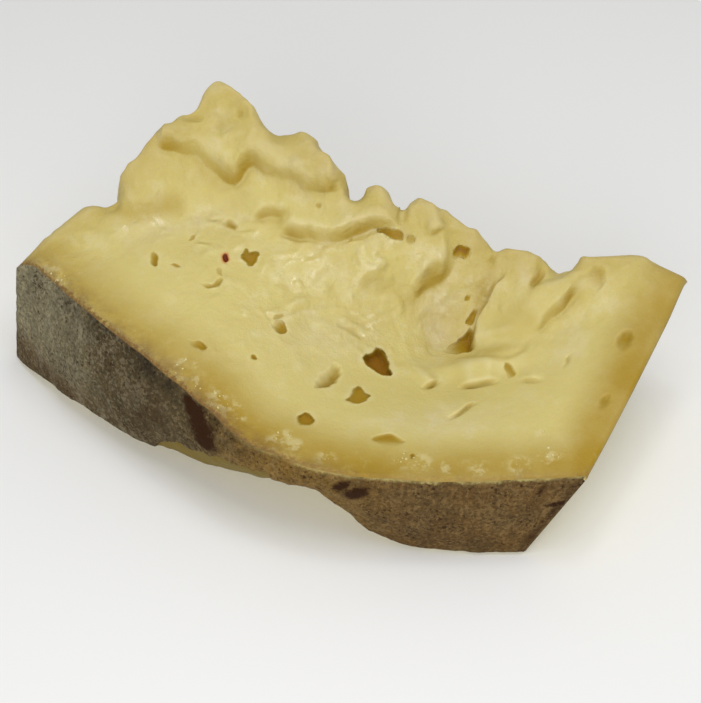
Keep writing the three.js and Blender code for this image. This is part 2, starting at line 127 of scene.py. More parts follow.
# The upper face rises from the rind towards the wheel's axis, and its relief fades out by the rind and the
# cut.
RISE = 0.12
EDGE_FADE = 4

# Soft forms of the upper face: x, y, radius along, radius across, turn in degrees, height.
FORMS = {
    "bowl": (40, 2, 60, 42, 20, -20),
    "pit": (44, 16, 17, 12, 25, -7),
    "right wall": (128, -2, 34, 60, -20, 13),
    "dome": (12, 34, 26, 13, 8, 7),
    "panel": (75, 8, 12, 18, -40, 5),
    "fold": (92, 17, 26, 7, 24, 4.2),
    "flap": (57, -9, 24, 7, 4, 5),
    "left swell": (-86, 30, 40, 24, 35, 2),
    "low lobe": (-86, 64, 18, 10, 30, 3),
    "hanging lobe": (-57.5, 73, 9, 5, -8, 5.5),
    "middle lobe": (-36, 67.5, 9, 5, -25, 4.5),
    "end lobe": (-12, 60, 11, 5, -25, 4),
}

# Torn ledges: a path with the high side on its left, the lip's sizes, and those of the groove below it.
Ledge = namedtuple("Ledge", "path height width overhang reach groove groove_width")
LEDGES = {
    "crag lip": Ledge([(-89, 73.5), (-85.5, 72.2), (-81.5, 72), (-77.5, 72), (-73.5, 72.4), (-70, 72.9),
        (-67.3, 72.9), (-66, 71.9), (-64, 70.2), (-60.5, 68.7), (-56.7, 67), (-53.5, 65.3), (-51, 64.9),
        (-48.8, 66.2), (-46.6, 67.4), (-44, 67.2), (-41.6, 66), (-38.6, 64.4), (-35.3, 62.7), (-31.3, 61.8),
        (-27, 60.5), (-23.3, 58.4), (-20.2, 55.8), (-17, 54.7), (-12.6, 53.9), (-7.2, 53.4), (-2, 55)], 4.2,
        2.4, 1.6, 14, 1.6, 2),
    "layer arch": Ledge([(-45, 48.5), (-42.2, 51), (-38.6, 52.2), (-34.3, 51.8), (-29.6, 50.5),
        (-26.5, 47.7)], 2.4, 2, 0.8, 8, 1, 2),
    "second layer": Ledge([(-33, 44.6), (-28, 44.5), (-22.5, 43.3), (-17, 42), (-12.6, 40.5), (-8.2, 39.6),
        (-4.3, 40), (0, 40.9), (4.2, 41.8), (8.6, 42.2), (13, 42.4), (16.5, 41.5), (20, 40), (22.3, 39.8)],
        4, 2.2, 1.7, 12, 2, 2),
    "dome lip": Ledge([(2.3, 20.4), (5.2, 23.2), (8.6, 24.9), (12.2, 26), (16.6, 26), (20, 25.2),
        (23, 23.4)], 2, 3, 0.6, 9, 0.6, 3),
    "block lip": Ledge([(32.4, 35.7), (35, 37), (38, 37.7), (41, 38), (42, 36.6)], 2, 1.2, 1, 6, 1, 1.5),
    "pit brow": Ledge([(26, 21.6), (28, 24), (30, 26), (33, 27.6), (36.6, 28.5), (40, 29.5), (43, 30.5),
        (45.7, 31.6), (48, 32.7)], 4.2, 2.4, 1.4, 10, 1.8, 2),
    "panel edge": Ledge([(68, 27.7), (66.4, 24.7), (63.6, 21.6), (61.1, 19.6), (58.1, 16.6), (56, 13.6),
        (54.9, 7.7), (53.9, 0.7)], 4, 2, 1.6, 12, 1.6, 2),
    "fold edge": Ledge([(78.5, 0.6), (83.6, 5.1), (88.5, 8.3), (93.5, 11.6), (97.7, 14), (101.2, 14.7)],
        3.2, 2.2, 1.6, 8, 1.8, 2),
    "flap foot": Ledge([(45.3, -20.2), (47.8, -20), (53.3, -19.6), (59.4, -19.4), (65.4, -19.2)], 3.2, 1.4,
        1.8, 9, 1.8, 1.2),
    "flap slash": Ledge([(30, -21), (35.1, -17.8), (39.4, -15)], 2.6, 1.4, 1.4, 7, 1.6, 1.1),
    "flap ridge": Ledge([(70.1, -20), (74.3, -21.8), (78.1, -23.2), (84, -24)], 1.4, 1.4, 0.6, 6, 0.7, 1.2),
    "low slash": Ledge([(39.7, -42.6), (43.7, -40.2), (47.6, -36.5), (51, -33.2), (54.8, -30.2)], 1.8, 1.3,
        0.9, 7, 1.5, 1),
}
# How uneven the lips are: a share of their height, and millimetres along and across their path.
LIP_UNEVEN = 0.2
LIP_WANDER = 0.3
# How much painted shade a lip's face can take, the depth at which a groove is fully painted with shade,
# and how lips and grooves end.
LIP_SHADE = 0.62
FULL_CREASE = 3
END_FADE = 7
# How near a path the upper face is divided more finely.
PATH_MARGIN = 3.5

# Folds and creases.
Groove = namedtuple("Groove", "path depth width")
GROOVES = {
    "peak crease": Groove([(-52.6, 84), (-49, 80.6), (-45.7, 77.8)], 2, 1.6),
    "shoulder crease": Groove([(-76.8, 80), (-71.5, 82), (-67, 83), (-62.6, 85.3)], 2, 1.8),
    "layer notch": Groove([(1.6, 44.5), (0.8, 42.5), (-0.4, 40.6), (-1.6, 39)], 1.4, 0.8),
    "block side": Groove([(22, 50), (23.2, 43.6), (24, 39.5), (26.7, 36.3), (29.8, 34)], 1.2, 1.8),
    "face crease": Groove([(63.7, 35.8), (63, 32.4), (61.6, 30.7), (60, 29.2)], 2, 1.4),
    "pillar groove": Groove([(86.4, 29), (83.7, 24.3), (81.3, 21.4), (79.2, 18.7), (77.8, 16)], 3, 1.4),
    "fold tail": Groove([(79.7, 2.2), (77, -1.4), (74.5, -6), (70, -8), (65, -8)], 0.9, 1.6),
    "flap top": Groove([(43.3, 3.2), (50.5, -0.3), (58.7, -5.4), (67, -8.3), (73.6, -7.1)], 1, 2.5),
    "torn crease": Groove([(-32.7, 3.3), (-26.3, 7), (-19.6, 11.4), (-11.2, 14.1), (-4.2, 15.9),
        (5.2, 14.3), (11.2, 12.2)], 0.35, 0.8),
    "lump foot": Groove([(-110.5, 57.8), (-105, 55), (-98.4, 52), (-91, 52), (-84.3, 54), (-77.2, 56),
        (-71, 56.7)], 1.5, 4),
    "fan fold": Groove([(-9, 9), (-2.4, 7.2), (3.2, 5.3), (8.6, 2.7)], 0.9, 1.4),
    "fan fold above": Groove([(-4.5, 14.4), (0.6, 12.2), (6.8, 10), (11.3, 6.8)], 0.7, 1.3),
}

# A fan of fine wrinkles below the dome: its centre, the folds in a full turn, their depth and their reach.
FAN_CENTRE = np.array([24.0, 20.0])
FAN_FOLDS = 30
FAN_DEPTH = 0.12
FAN_RADIUS = 24
FAN_REACH = 13
FAN_ANGLE = math.radians(-135)
FAN_SPREAD = math.radians(48)

# Eyes and tears in the upper face: outline in plan, depth, how wide their sloping walls are, lean from
# upright, how much painted shade darkens them inside, and the direction of the deepest side in degrees.
Eye = namedtuple("Eye", "outline depth wall lean shade side", defaults=(None,))
EYES = {
    "wall oval": Eye([(103, 19.8), (106, 21), (109.6, 20.6), (111, 18), (110.4, 14.2), (108, 12), (105, 12),
        (102.8, 15)], 3, 2.6, 0.2, 0.35, 45),
    "wall round": Eye([(111.5, -15), (113, -10.5), (117, -7.6), (120.4, -8.8), (120.6, -13.5),
        (118.2, -18.4), (113.7, -20.6)], 3.4, 3.2, 0.2, 0.55, 60),
    "wall low": Eye([(101.5, -45), (102.5, -41.2), (105.7, -38.7), (108.5, -39), (108.5, -42.8),
        (105.9, -46), (103, -47)], 2.6, 3.2, 0.2, 0.5, 60),
    "wall slash": Eye([(89, -24), (90, -18.3), (92.5, -13), (95, -13), (94.6, -17), (92.6, -20)], 1.6, 2.6,
        0.3, 0.4, 90),
    "left upright": Eye([(-88.4, 31), (-87.2, 34), (-85.3, 32), (-84.6, 28), (-85.4, 25.4), (-87.8, 27)], 2,
        1.6, 0.4, 0.7, 0),
    "left speck": Eye([(-79.4, 27), (-76.5, 26.8), (-74.2, 25), (-76.4, 24.5)], 0.8, 1, 0.5, 0.5),
    "left crescent": Eye([(-65, 17), (-62.5, 17.2), (-59.6, 16.8), (-58, 19.4), (-57, 21.5), (-55.7, 19.5),
        (-56.5, 16.7), (-59.5, 15), (-63.5, 15)], 1.4, 1.4, 0.4, 0.5, -60),
    "crescent tip": Eye([(-58.8, 25.2), (-56.7, 24.8), (-56, 21.5), (-57.8, 22.5)], 0.8, 1, 0.4, 0.3),
    "red speck": Eye([(-56.6, 31.2), (-55.4, 33), (-54.2, 32.2), (-54, 29.8), (-55, 28.6), (-56.1, 29.6)],
        1.4, 0.8, 0.5, 1),
    "torn star": Eye([(-48.2, 31.4), (-46.4, 36), (-45, 33.7), (-43, 34.3), (-40.3, 33.8), (-41.6, 31),
        (-43.2, 27), (-45.8, 29)], 3.4, 1.6, 0.6, 0.7),
    "soft pit": Eye([(-57.8, 48), (-55.2, 52), (-52.5, 50.6), (-49.7, 47.8), (-51, 44.3), (-54, 44.7),
        (-56.4, 46)], 2.6, 3, 0.4, 0.6, 45),
    "small oval": Eye([(-34.5, 0), (-31.5, 2.3), (-28.2, 2.3), (-27.7, -2.3), (-30.4, -3.8), (-32.8, -2)],
        2.4, 1.8, 0.4, 0.7, -20),
    "oval scratch": Eye([(-33.8, 3.2), (-32, 5.5), (-28.7, 5.7), (-31, 3.6)], 0.7, 1, 0.5, 0.4),
    "rind side": Eye([(-70.5, -11.3), (-67, -12.6), (-63.6, -12.5), (-60.3, -15.5), (-63.5, -16.8),
        (-67, -14.8)], 2.2, 1.6, 0.5, 0.75, 0),
    "pinhole": Eye([(-42.4, -16.7), (-40.6, -16.6), (-40, -18.2), (-41.9, -18.9)], 1.4, 0.8, 0.5, 0.8),
    "wedge": Eye([(-16.4, -29), (-14, -22), (-10, -16.4), (-6.6, -12), (-3.6, -13.2), (-3.5, -19),
        (-6, -24.4), (-10.4, -28)], 5, 4.5, 0, 0.5),
    "deep": Eye([(5.2, -5.8), (6.7, -4), (9, -4), (11.9, 1), (13.8, -0.5), (16.2, -4.6), (16.5, -9.5),
        (18.5, -14), (15, -14.2), (11.5, -12.8), (8.5, -10.8), (6.2, -8)], 8, 2.2, 0.6, 0.95),
    "deep small": Eye([(-2.6, -33), (0.2, -31), (1, -26.5), (3, -23.3), (5, -24.2), (5.5, -27.2),
        (8.7, -28), (6.6, -31.7), (4, -34.7), (0.6, -34.2)], 3.2, 2, 0.5, 0.66),
    "round": Eye([(-22.4, -47.6), (-21.2, -44.6), (-18.6, -43), (-16, -44.6), (-15, -47.2), (-17, -49.8),
        (-20.4, -50)], 3.2, 1.6, 0.6, 0.72),
    "lens": Eye([(8.3, -55.6), (12, -53), (17, -52), (21, -55.6), (23.5, -56.6), (20, -59), (15.5, -60.3),
        (10.8, -58)], 1.2, 2, 0.2, 0.75, 90),
    "rim pinhole": Eye([(24.3, -63.7), (25.6, -63), (26.3, -64.8), (25.2, -66)], 1.4, 0.8, 0.5, 0.8),
    "pit hole": Eye([(40, 4), (43.2, 9), (47.4, 12), (51, 13.6), (53, 15.5), (55.3, 13.6), (54.5, 7.3),
        (54, 2.5), (48.5, 3.5), (43.4, 4.2)], 5, 2, 0.3, 0.85, 20),
    "pit nick": Eye([(51.3, 17.6), (53, 19), (55.8, 19.8), (55.3, 17.3), (53.5, 16.7)], 1.8, 1, 0.5, 0.7),
    "pit speck": Eye([(50.7, 23), (51.5, 24.3), (53.6, 23.7), (52, 23)], 1.2, 1, 0.5, 0.7),
    "brow hole": Eye([(45.7, 33.2), (47.9, 35), (50, 33.9), (52.8, 34.5), (51.5, 32), (48.4, 33)], 3, 1.2,
        0.9, 0.9),
    "layer end": Eye([(11, 41.7), (16.5, 41), (20, 39.4), (22.8, 39.2), (23, 36.4), (20, 36.9), (16, 39)],
        2.2, 1.4, 0.6, 0.75),
    "flap wedge": Eye([(66.2, -11.4), (69.5, -12.8), (71.4, -17.5), (67.8, -19.7)], 1.4, 1.4, 0.4, 0.6, 45),
    "block speck": Eye([(25.3, 37.7), (27.8, 37.2), (27.6, 35.9), (25.8, 36)], 1, 1, 0.8, 0.4),
    "left nick": Eye([(-71.6, 38.8), (-71, 42), (-69, 42.6), (-69.5, 40)], 0.8, 1, 0.5, 0.4),
    "slope speck": Eye([(-15.3, 50), (-13, 49), (-13, 47.8), (-14.8, 48.3)], 0.8, 1, 0.7, 0.4),
}
# How far round an eye counts as near it, how ragged its edge is, how wide a wall is soft, and the red
# speck's reach.
EYE_MARGIN = 1.5
EYE_RAGGED = 0.22
SOFT_WALL = 2.5
SPECK_REACH = 1.9

# Places of painted shade on the upper face: x, y, radius along, radius across, turn in degrees, strength.
PAINTED_SHADE = [(60, 24.5, 12, 5, 58, 0.6), (-47, 84, 9, 4.5, -60, 0.45), (-62, 83, 14, 4, 30, 0.35),
          (82, 22, 9, 4, 55, 0.4), (62, -3, 16, 4, -18, 0.35), (97, 12, 12, 5, 40, 0.3),
          (-100, 54, 16, 4, -10, 0.3), (-24, 56, 12, 3, -25, 0.35), (74, 6, 12, 9, -40, 0.3)]

# Milky places on the upper face, pale paste with painted sheen, listed likewise.
MILKY_SHEEN = [(40, 15, 10, 9, 30, 0.6), (-12, -2, 22, 12, 20, 0.55), (38, -45, 26, 10, 5, 0.5),
         (-86, 44, 16, 7, 15, 0.5), (-60, 52, 12, 6, 0, 0.5), (76, 21, 8, 4, 60, 0.5),
         (92, -8, 14, 10, 60, 0.25), (-27, 63, 12, 5, -30, 0.35)]

# Torn and wet places, in the middle and at the left, listed likewise: glossy, with painted sheen.
DAMP = [(20, 28, 74.67, 29.87, 15, 1), (-64, 44, 42, 20, 0, 1)]
# How far from the ridges the paste is torn, and how torn it is elsewhere.
TORN_REACH = 30
PLAIN_TORN = 0.12

# Scuffed patches by the rind's edge, where crumbs lie: x, y and radius.
SCUFFS = [(-133, 25.5, 5), (-127.5, 21.5, 4), (-118.6, 26, 2.5), (-100, -6.5, 2.5), (-85, -16, 3.5),
          (-70, -26.5, 6), (-64.5, -33, 4), (-55, -41.5, 6.5), (-47.5, -46, 5.5), (-32, -60, 4),
          (-27.5, -57.5, 5), (-23, -61, 4), (-10, -66.5, 4), (21, -66.5, 5), (28.5, -67.5, 5),
          (37.5, -71, 4), (52.5, -71, 4), (69, -70.5, 5), (80.5, -55, 4), (81.5, -66, 5)]

# Dark places on the rind: share of its length, spread along it, distance below its upper edge, height,
# strength.
STAINS = [(0.395, 0.016, 1, 4, 1), (0.412, 0.019, 5, 4, 1.1), (0.428, 0.022, 9, 4, 1.3),
          (0.44, 0.024, 13, 4, 1.3), (0.665, 0.012, 6, 4, 0.7), (0.69, 0.016, 9, 5, 0.75),
          (0.945, 0.008, 8, 6, 0.5), (0.99, 0.012, 24, 30, 0.4), (0.985, 0.02, 16, 0.8, 1),
          (0.33, 0.07, 26, 22, 0.3)]

# Stands for points that lie far from the rind's edges.
FAR = 9.0

# How finely the chunk is divided.
ALONG = 300
ACROSS = 130
ROWS_DOWN = 26
ROWS_UNDER = 6
BASE_RINGS = 2
BASE_CENTRE = np.array([-10.0, 22.0])
PATH_STEPS = 40

# How widely hollows are looked for, for painted shade, and then how widely a point's surroundings are for
# its painted shade in hollows and painted highlight on crests, the depth in metres that counts fully, how
# soon a shallower one counts, and how much it counts on the walls.
HOLLOW_PASSES = 40
CAVITY_PASSES = 14
CAVITY_DEPTH = 0.0016
CAVITY_POWER = 0.6
WALL_CAVITY = 0.3

# The photograph's view, in the chunk's own millimetres: a pixel's size and the height aimed at.
IMAGE_PIXELS = 703
PIXEL = 0.44
AIM_HEIGHT = 42
DESIGN_MIDDLE = (-5.49, 8.35)

# The lights' places and sizes, and the floor's reach and height, in metres.
LIGHTS = {
    "key": ((0.15, -0.10, 0.90), 0.5),
    "fill": ((-0.2, -0.9, 0.5), 0.7),
    "glint": ((0.05, 0.05, 0.95), 0.12),
}
FLOOR_REACH = 3.0
FLOOR_HEIGHT = -0.0002

# Kinds of socket.
NUMBER = "NodeSocketFloat"
MATERIAL = "NodeSocketMaterial"


def number_property(label, about, value, unit="LENGTH"):
    return bpy.props.FloatProperty(name=label, description=about, default=value, unit=unit)


def colour_property(label, about, *value):
    return bpy.props.FloatVectorProperty(name=label, description=about, default=value, subtype="COLOR")


class ChunkShape(bpy.types.PropertyGroup):
    """How uneven the chunk's surfaces are."""

    torn_size: number_property("Torn size", "Size of the lumps on torn paste", 0.014)
    torn_depth: number_property("Torn depth", "Height of the lumps on torn paste", 0.003)
    fold_size: number_property("Fold size", "Size of the folds on torn paste", 0.007)
    fold_depth: number_property("Fold depth", "Height of the folds on torn paste", 0.0019)
    rind_size: number_property("Rind size", "Size of the rind's bumps", 0.008)
    rind_depth: number_property("Rind depth", "Height of the rind's bumps", 0.002)
    eye_spacing: number_property("Eye spacing", "Distance between the hidden sides' eyes", 0.024)
    eye_radius: number_property("Eye radius", "Size of the balls that cut those eyes", 0.004)
    eye_depth: number_property("Eye depth", "How deep those eyes are sunk", 0.0025)


class CrumbShape(bpy.types.PropertyGroup):
    """The crumbs along the rind."""

    density: number_property("Density", "Crumbs on a square metre at the thickest place", 160000.0, "NONE")
    size: number_property("Size", "Width of the largest crumb", 0.0014)
    seed: bpy.props.IntProperty(name="Seed", description="Seed of the crumbs' places", default=7)


class ChunkFinish(bpy.types.PropertyGroup):
    """Colours of the paste and the rind, some of them painted shade and painted highlight."""

    paste: colour_property("Paste", "Pale yellow paste", 0.625, 0.53, 0.19)
    # Pale paste and crumbs, also used as painted highlight on crests and wisps.
    cream: colour_property("Cream", "Palest torn paste and crumbs", 0.69, 0.61, 0.31)
    # Painted highlight colour of glossy crinkles and milky places.
    damp: colour_property("Damp", "Glossy crinkles of torn paste", 0.70, 0.62, 0.42)
    # Gold tone of the paste by the rind, also used as painted shade in creases, hollows, under lips and in
    # the eyes.
    golden: colour_property("Golden", "Paste in creases and by the rind", 0.38, 0.24, 0.012)
    # The real brown line below the rind, also used as painted shade along the rind's left edge.
    crust: colour_property("Crust", "The line where paste turns to rind", 0.19, 0.105, 0.03)
    # Painted shade inside the eyes, brown where they are deep.
    eye: colour_property("Eye", "The inside of the eyes", 0.30, 0.135, 0.006)
    red: colour_property("Red", "A dried speck", 0.14, 0.016, 0.0)
    halo: colour_property("Halo", "Stained paste round the dried speck", 0.55, 0.16, 0.05)
    rind_grey: colour_property("Rind grey", "The rind at its dry end", 0.23, 0.20, 0.115)
    rind_brown: colour_property("Rind brown", "The rind in its middle", 0.082, 0.058, 0.024)
    rind_warm: colour_property("Rind warm", "The rind where it is narrow", 0.185, 0.104, 0.022)
    rind_tan: colour_property("Rind tan", "The rind towards the knife cut", 0.122, 0.066, 0.019)
    # Darker brown towards the foot of the grey end.
    rind_rust: colour_property("Rind rust", "The foot of the dry end", 0.085, 0.05, 0.016)
    chalk_grey: colour_property("Grey film", "Dry film on the grey rind", 0.40, 0.36, 0.25)
    chalk_tan: colour_property("Tan film", "Dry film on the tan rind", 0.34, 0.23, 0.09)
    # Bare paste below the broken rind, its tone darkened with painted shade.
    bare: colour_property("Bare paste", "Paste below the broken rind", 0.165, 0.112, 0.012)
    rind_dark: colour_property("Rind dark", "Pores and stains of the rind", 0.03, 0.009, 0.0)
    glow: number_property("Glow", "How far light spreads under the paste", 0.003)


class StageSetup(bpy.types.PropertyGroup):
    """The floor, the lights and the camera."""

    elevation: number_property("Elevation", "View above the horizon", math.radians(47), "ROTATION")
    distance: number_property("Distance", "Camera to chunk", 0.7)
    floor: colour_property("Floor", "Colour of the floor", 0.9, 0.9, 0.89)
    key_power: number_property("Key power", "Soft light from above", 2.35, "POWER")
    fill_power: number_property("Fill power", "Soft light from the front", 4.2, "POWER")
    glint_power: number_property("Glint power", "Small light that glints on wet paste", 0.4, "POWER")
    sky: number_property("Sky", "Strength of the surrounding light", 0.5, "NONE")


def smooth(start, end, x):
    t = np.clip((np.asarray(x, float) - start) / (end - start), 0, 1)
    return t * t * (3 - 2 * t)


def bell(x):
    return np.exp(-(x**2))


def station(table, share):
    """Sizes read from their stations at shares of the length."""
    shares, sizes = np.array(table, float).T
    k = np.clip(np.searchsorted(shares, share) - 1, 0, len(shares) - 2)
    t = (share - shares[k]) / (shares[k + 1] - shares[k])
    return sizes[k] + (sizes[k + 1] - sizes[k]) * (smooth(0, 1, t) + t) / 2


def curve_points(points, count, fine=24):
    """Evenly spaced points of a smooth curve through the given ones."""
    p = np.array(points, float)
    p = np.vstack([2 * p[0] - p[1], p, 2 * p[-1] - p[-2]])
    t = np.linspace(0, 1, fine, endpoint=False)[:, None]
    spans = []
    for a, b, c, d in zip(p, p[1:], p[2:], p[3:]):
        bend = (2 * a - 5 * b + 4 * c - d) * t**2 + (3 * b - a - 3 * c + d) * t**3
        spans.append((2 * b + (c - a) * t + bend) / 2)
    curve = np.vstack([*spans, p[-2:-1]])
    travel = np.r_[0, np.cumsum(np.linalg.norm(np.diff(curve, axis=0), axis=1))]
    stops = np.linspace(0, travel[-1], count + 1)
    return np.stack([np.interp(stops, travel, column) for column in curve.T], axis=1)


def beside_path(plan, points):
    """Plan points by a path: their distance (positive on its left), share of its length, way past an end."""
    path = curve_points(points, PATH_STEPS)
    nearest = np.full(len(plan), np.inf)
    sign, share, past = np.zeros((3, len(plan)))
    for k, (start, end) in enumerate(zip(path, path[1:])):
        step = end - start
        length = np.hypot(*step)
        free = (plan - start) @ step / length**2
        t = np.clip(free, 0, 1)
        off = plan - start - t[:, None] * step
        distance = np.hypot(off[:, 0], off[:, 1])
        near = distance < nearest
        nearest[near] = distance[near]
        sign[near] = np.where(step[0] * off[near, 1] < step[1] * off[near, 0], -1, 1)
        share[near] = (k + t[near]) / PATH_STEPS
        at_end = (k == 0) & (free < 0) | (k == PATH_STEPS - 1) & (free > 1)
        past[near] = np.where(at_end, np.abs(free - t) * length, 0)[near]
    return nearest * sign, share, past


def low_side(points):
    """The direction towards a path's low side, square to the line between its ends."""
    chord = np.subtract(points[-1], points[0])
    return np.array([chord[1], -chord[0]]) / np.hypot(*chord)


def end_fade(points, share, past):
    """1 along a path, fading over its last millimetres to nought past its ends."""
    length = np.hypot(*np.diff(np.array(points, float), axis=0).T).sum()
    ends = min(END_FADE / length, 0.5)
    return smooth(0, ends, share) * smooth(0, ends, 1 - share) * bell(past / 2)


def wrinkles(plan):
    """The fan of fine folds below the dome."""
    off = plan - FAN_CENTRE
    radius = np.hypot(off[:, 0], off[:, 1])
    angle = np.arctan2(off[:, 1], off[:, 0])
    waves = np.sin(FAN_FOLDS * angle + 2 * np.sin(0.15 * radius) + np.sin(9 * angle))
    window = bell((radius - FAN_RADIUS) / FAN_REACH) * bell((angle - FAN_ANGLE) / FAN_SPREAD)
    return FAN_DEPTH * waves * window


def relief(plan):
    """Height and plan shift that ledges, grooves and wrinkles add, and how much painted shade their creases
    take.
    """
    height = wrinkles(plan)
    shift = np.zeros_like(plan)
    crease = np.zeros(len(plan))
    x, y = plan.T
    wander = LIP_WANDER * np.sin(0.5 * x + 0.3 * y) * np.sin(0.35 * y - 0.2 * x + 1)
    uneven = 1 + LIP_UNEVEN * np.sin(2.2 + 0.17 * x + 1.5 * np.sin(0.12 * y))
    for ledge in LEDGES.values():
        distance, share, past = beside_path(plan, ledge.path)
        distance = distance + wander
        fade = end_fade(ledge.path, share, past) * uneven
        beyond = np.maximum(distance - ledge.width, 0) / ledge.reach
        lip = ledge.height * smooth(-0.3 * ledge.width, ledge.width, distance) / (1 + beyond**2)
        below = fade * bell(distance / ledge.groove_width + 0.4)
        height += fade * lip - ledge.groove * below
        widths = distance / ledge.width
        facing = smooth(-0.6, -0.2, widths) * smooth(1.2, -0.2, widths)
        # Painted shade on the lip's face, where it hangs over.
        crease = np.maximum(crease, fade * uneven * facing * min(LIP_SHADE, ledge.groove / 2))
        lean = fade * ledge.overhang * bell((widths - 0.8) / 1.2)
        shift += lean[:, None] * low_side(ledge.path)
    for groove in GROOVES.values():
        distance, share, past = beside_path(plan, groove.path)
        sunk = end_fade(groove.path, share, past) * bell(distance / groove.width)
        height -= groove.depth * sunk
        # Painted shade in the groove.
        crease = np.maximum(crease, sunk * min(1, groove.depth / FULL_CREASE))
    return height, shift, crease


def soft_patch(plan, x, y, along, across, turn, size):
    """A soft oval of a size at its middle."""
    cos, sin = math.cos(math.radians(turn)), math.sin(math.radians(turn))
    off = plan - (x, y)
    return size * bell(off @ (cos, sin) / along) * bell(off @ (-sin, cos) / across)


def rim_share(plan):
    """The share along the rind that lies outward of plan points."""
    off = plan - WHEEL
    angle = np.degrees(np.arctan2(off[:, 1], off[:, 0]))
    return np.clip((angle - RIM_ANGLES[0]) / (RIM_ANGLES[1] - RIM_ANGLES[0]), 0, 1)


def base_height(plan):
    """The upper face without its crags: the rind's edge height, carried inwards and rising."""
    inwards = WHEEL_RADIUS - np.hypot(*(plan - WHEEL).T)
    forms = sum(soft_patch(plan, *form) for form in FORMS.values())
    return station(RIM_TOP, rim_share(plan)) + RISE * np.maximum(inwards, 0) + forms


def wheel_points(angles, offsets, share):
    angle = np.radians(angles[0] + (angles[1] - angles[0]) * share)
    radius = WHEEL_RADIUS + station(offsets, share)
    return WHEEL + radius[:, None] * np.stack([np.cos(angle), np.sin(angle)], axis=1)


def crag_fall(distance, reach):
    return 0.35 * bell(distance / reach) + 0.65 * smooth(1.35 * reach, 0, distance)


def beside_ridge(plan, ridge, rise):
    """A ridge's rise carried to plan points, its lumps blending away from it, and their distance from it."""
    steps = np.hypot(*np.diff(ridge, axis=0).T)
    parts = (np.r_[steps, 0] + np.r_[0, steps]) / 2
    near, carried = np.zeros((2, len(plan)))
    for point, height, part in zip(ridge, rise, parts):
        weight = part / (((plan - point) ** 2).sum(axis=1) + RIDGE_BLEND**2) ** 2
        near += weight
        carried += weight * height
    distance = np.cbrt(math.pi / 2 / near)
    return carried / near, np.sqrt(np.maximum(distance**2 - RIDGE_BLEND**2, 0))


def round_off(distance, radius):
    t = np.clip(1 - distance / radius, 0, 1)
    return radius * (1 - np.sqrt(1 - t**2))


def blurred(values, passes):
    for _ in range(passes):
        wide = np.pad(values, 1, mode="edge")
        values = (wide[:-2, 1:-1] + wide[2:, 1:-1] + wide[1:-1, :-2] + wide[1:-1, 2:]) / 4
    return values


def upper_edges(u, v):
    """The four upper edges, with the ridges' heights."""
    front = wheel_points(RIM_ANGLES, RIM_OFFSET, u)
    back = curve_points(BACK_RIDGE, ALONG)
    left = curve_points(LEFT_RIDGE, ACROSS)
    left[:, :2] += (1 - v)[:, None] * (front[0] - left[0, :2])
    right = np.linspace(front[-1], back[-1, :2], ACROSS + 1) + np.sin(math.pi * v)[:, None] * CUT_BOW
    return front, right, back, left


def spanned(front, right, back, left, u, v):
    """Plan points spanned between four edges."""
    u, v = u[:, None, None], v[None, :, None]
    across = (1 - v) * front[:, None] + v * back[:, None]
    along = (1 - u) * left[None] + u * right[None]
    corners = (1 - u) * ((1 - v) * front[0] + v * back[0]) + u * ((1 - v) * front[-1] + v * back[-1])
    return across + along - corners


def golden_edges(u, v, gap, away):
    """How gold-toned the upper face is by the rind, by the knife cut and by the ridges."""
    band = (20 + 5 * bell((u - 0.4) / 0.1) + 3 * smooth(0.45, 0.6, u))[:, None]
    strength = (0.7 + 0.18 * smooth(0.27, 0.42, u))[:, None]
    by_rind = strength * smooth(1.3 * band, 0.2 * band, gap["front"])
    return [by_rind, smooth(26, 4, gap["right"]) * (1 - 0.25 * v), 0.45 * smooth(26, 0, away)]


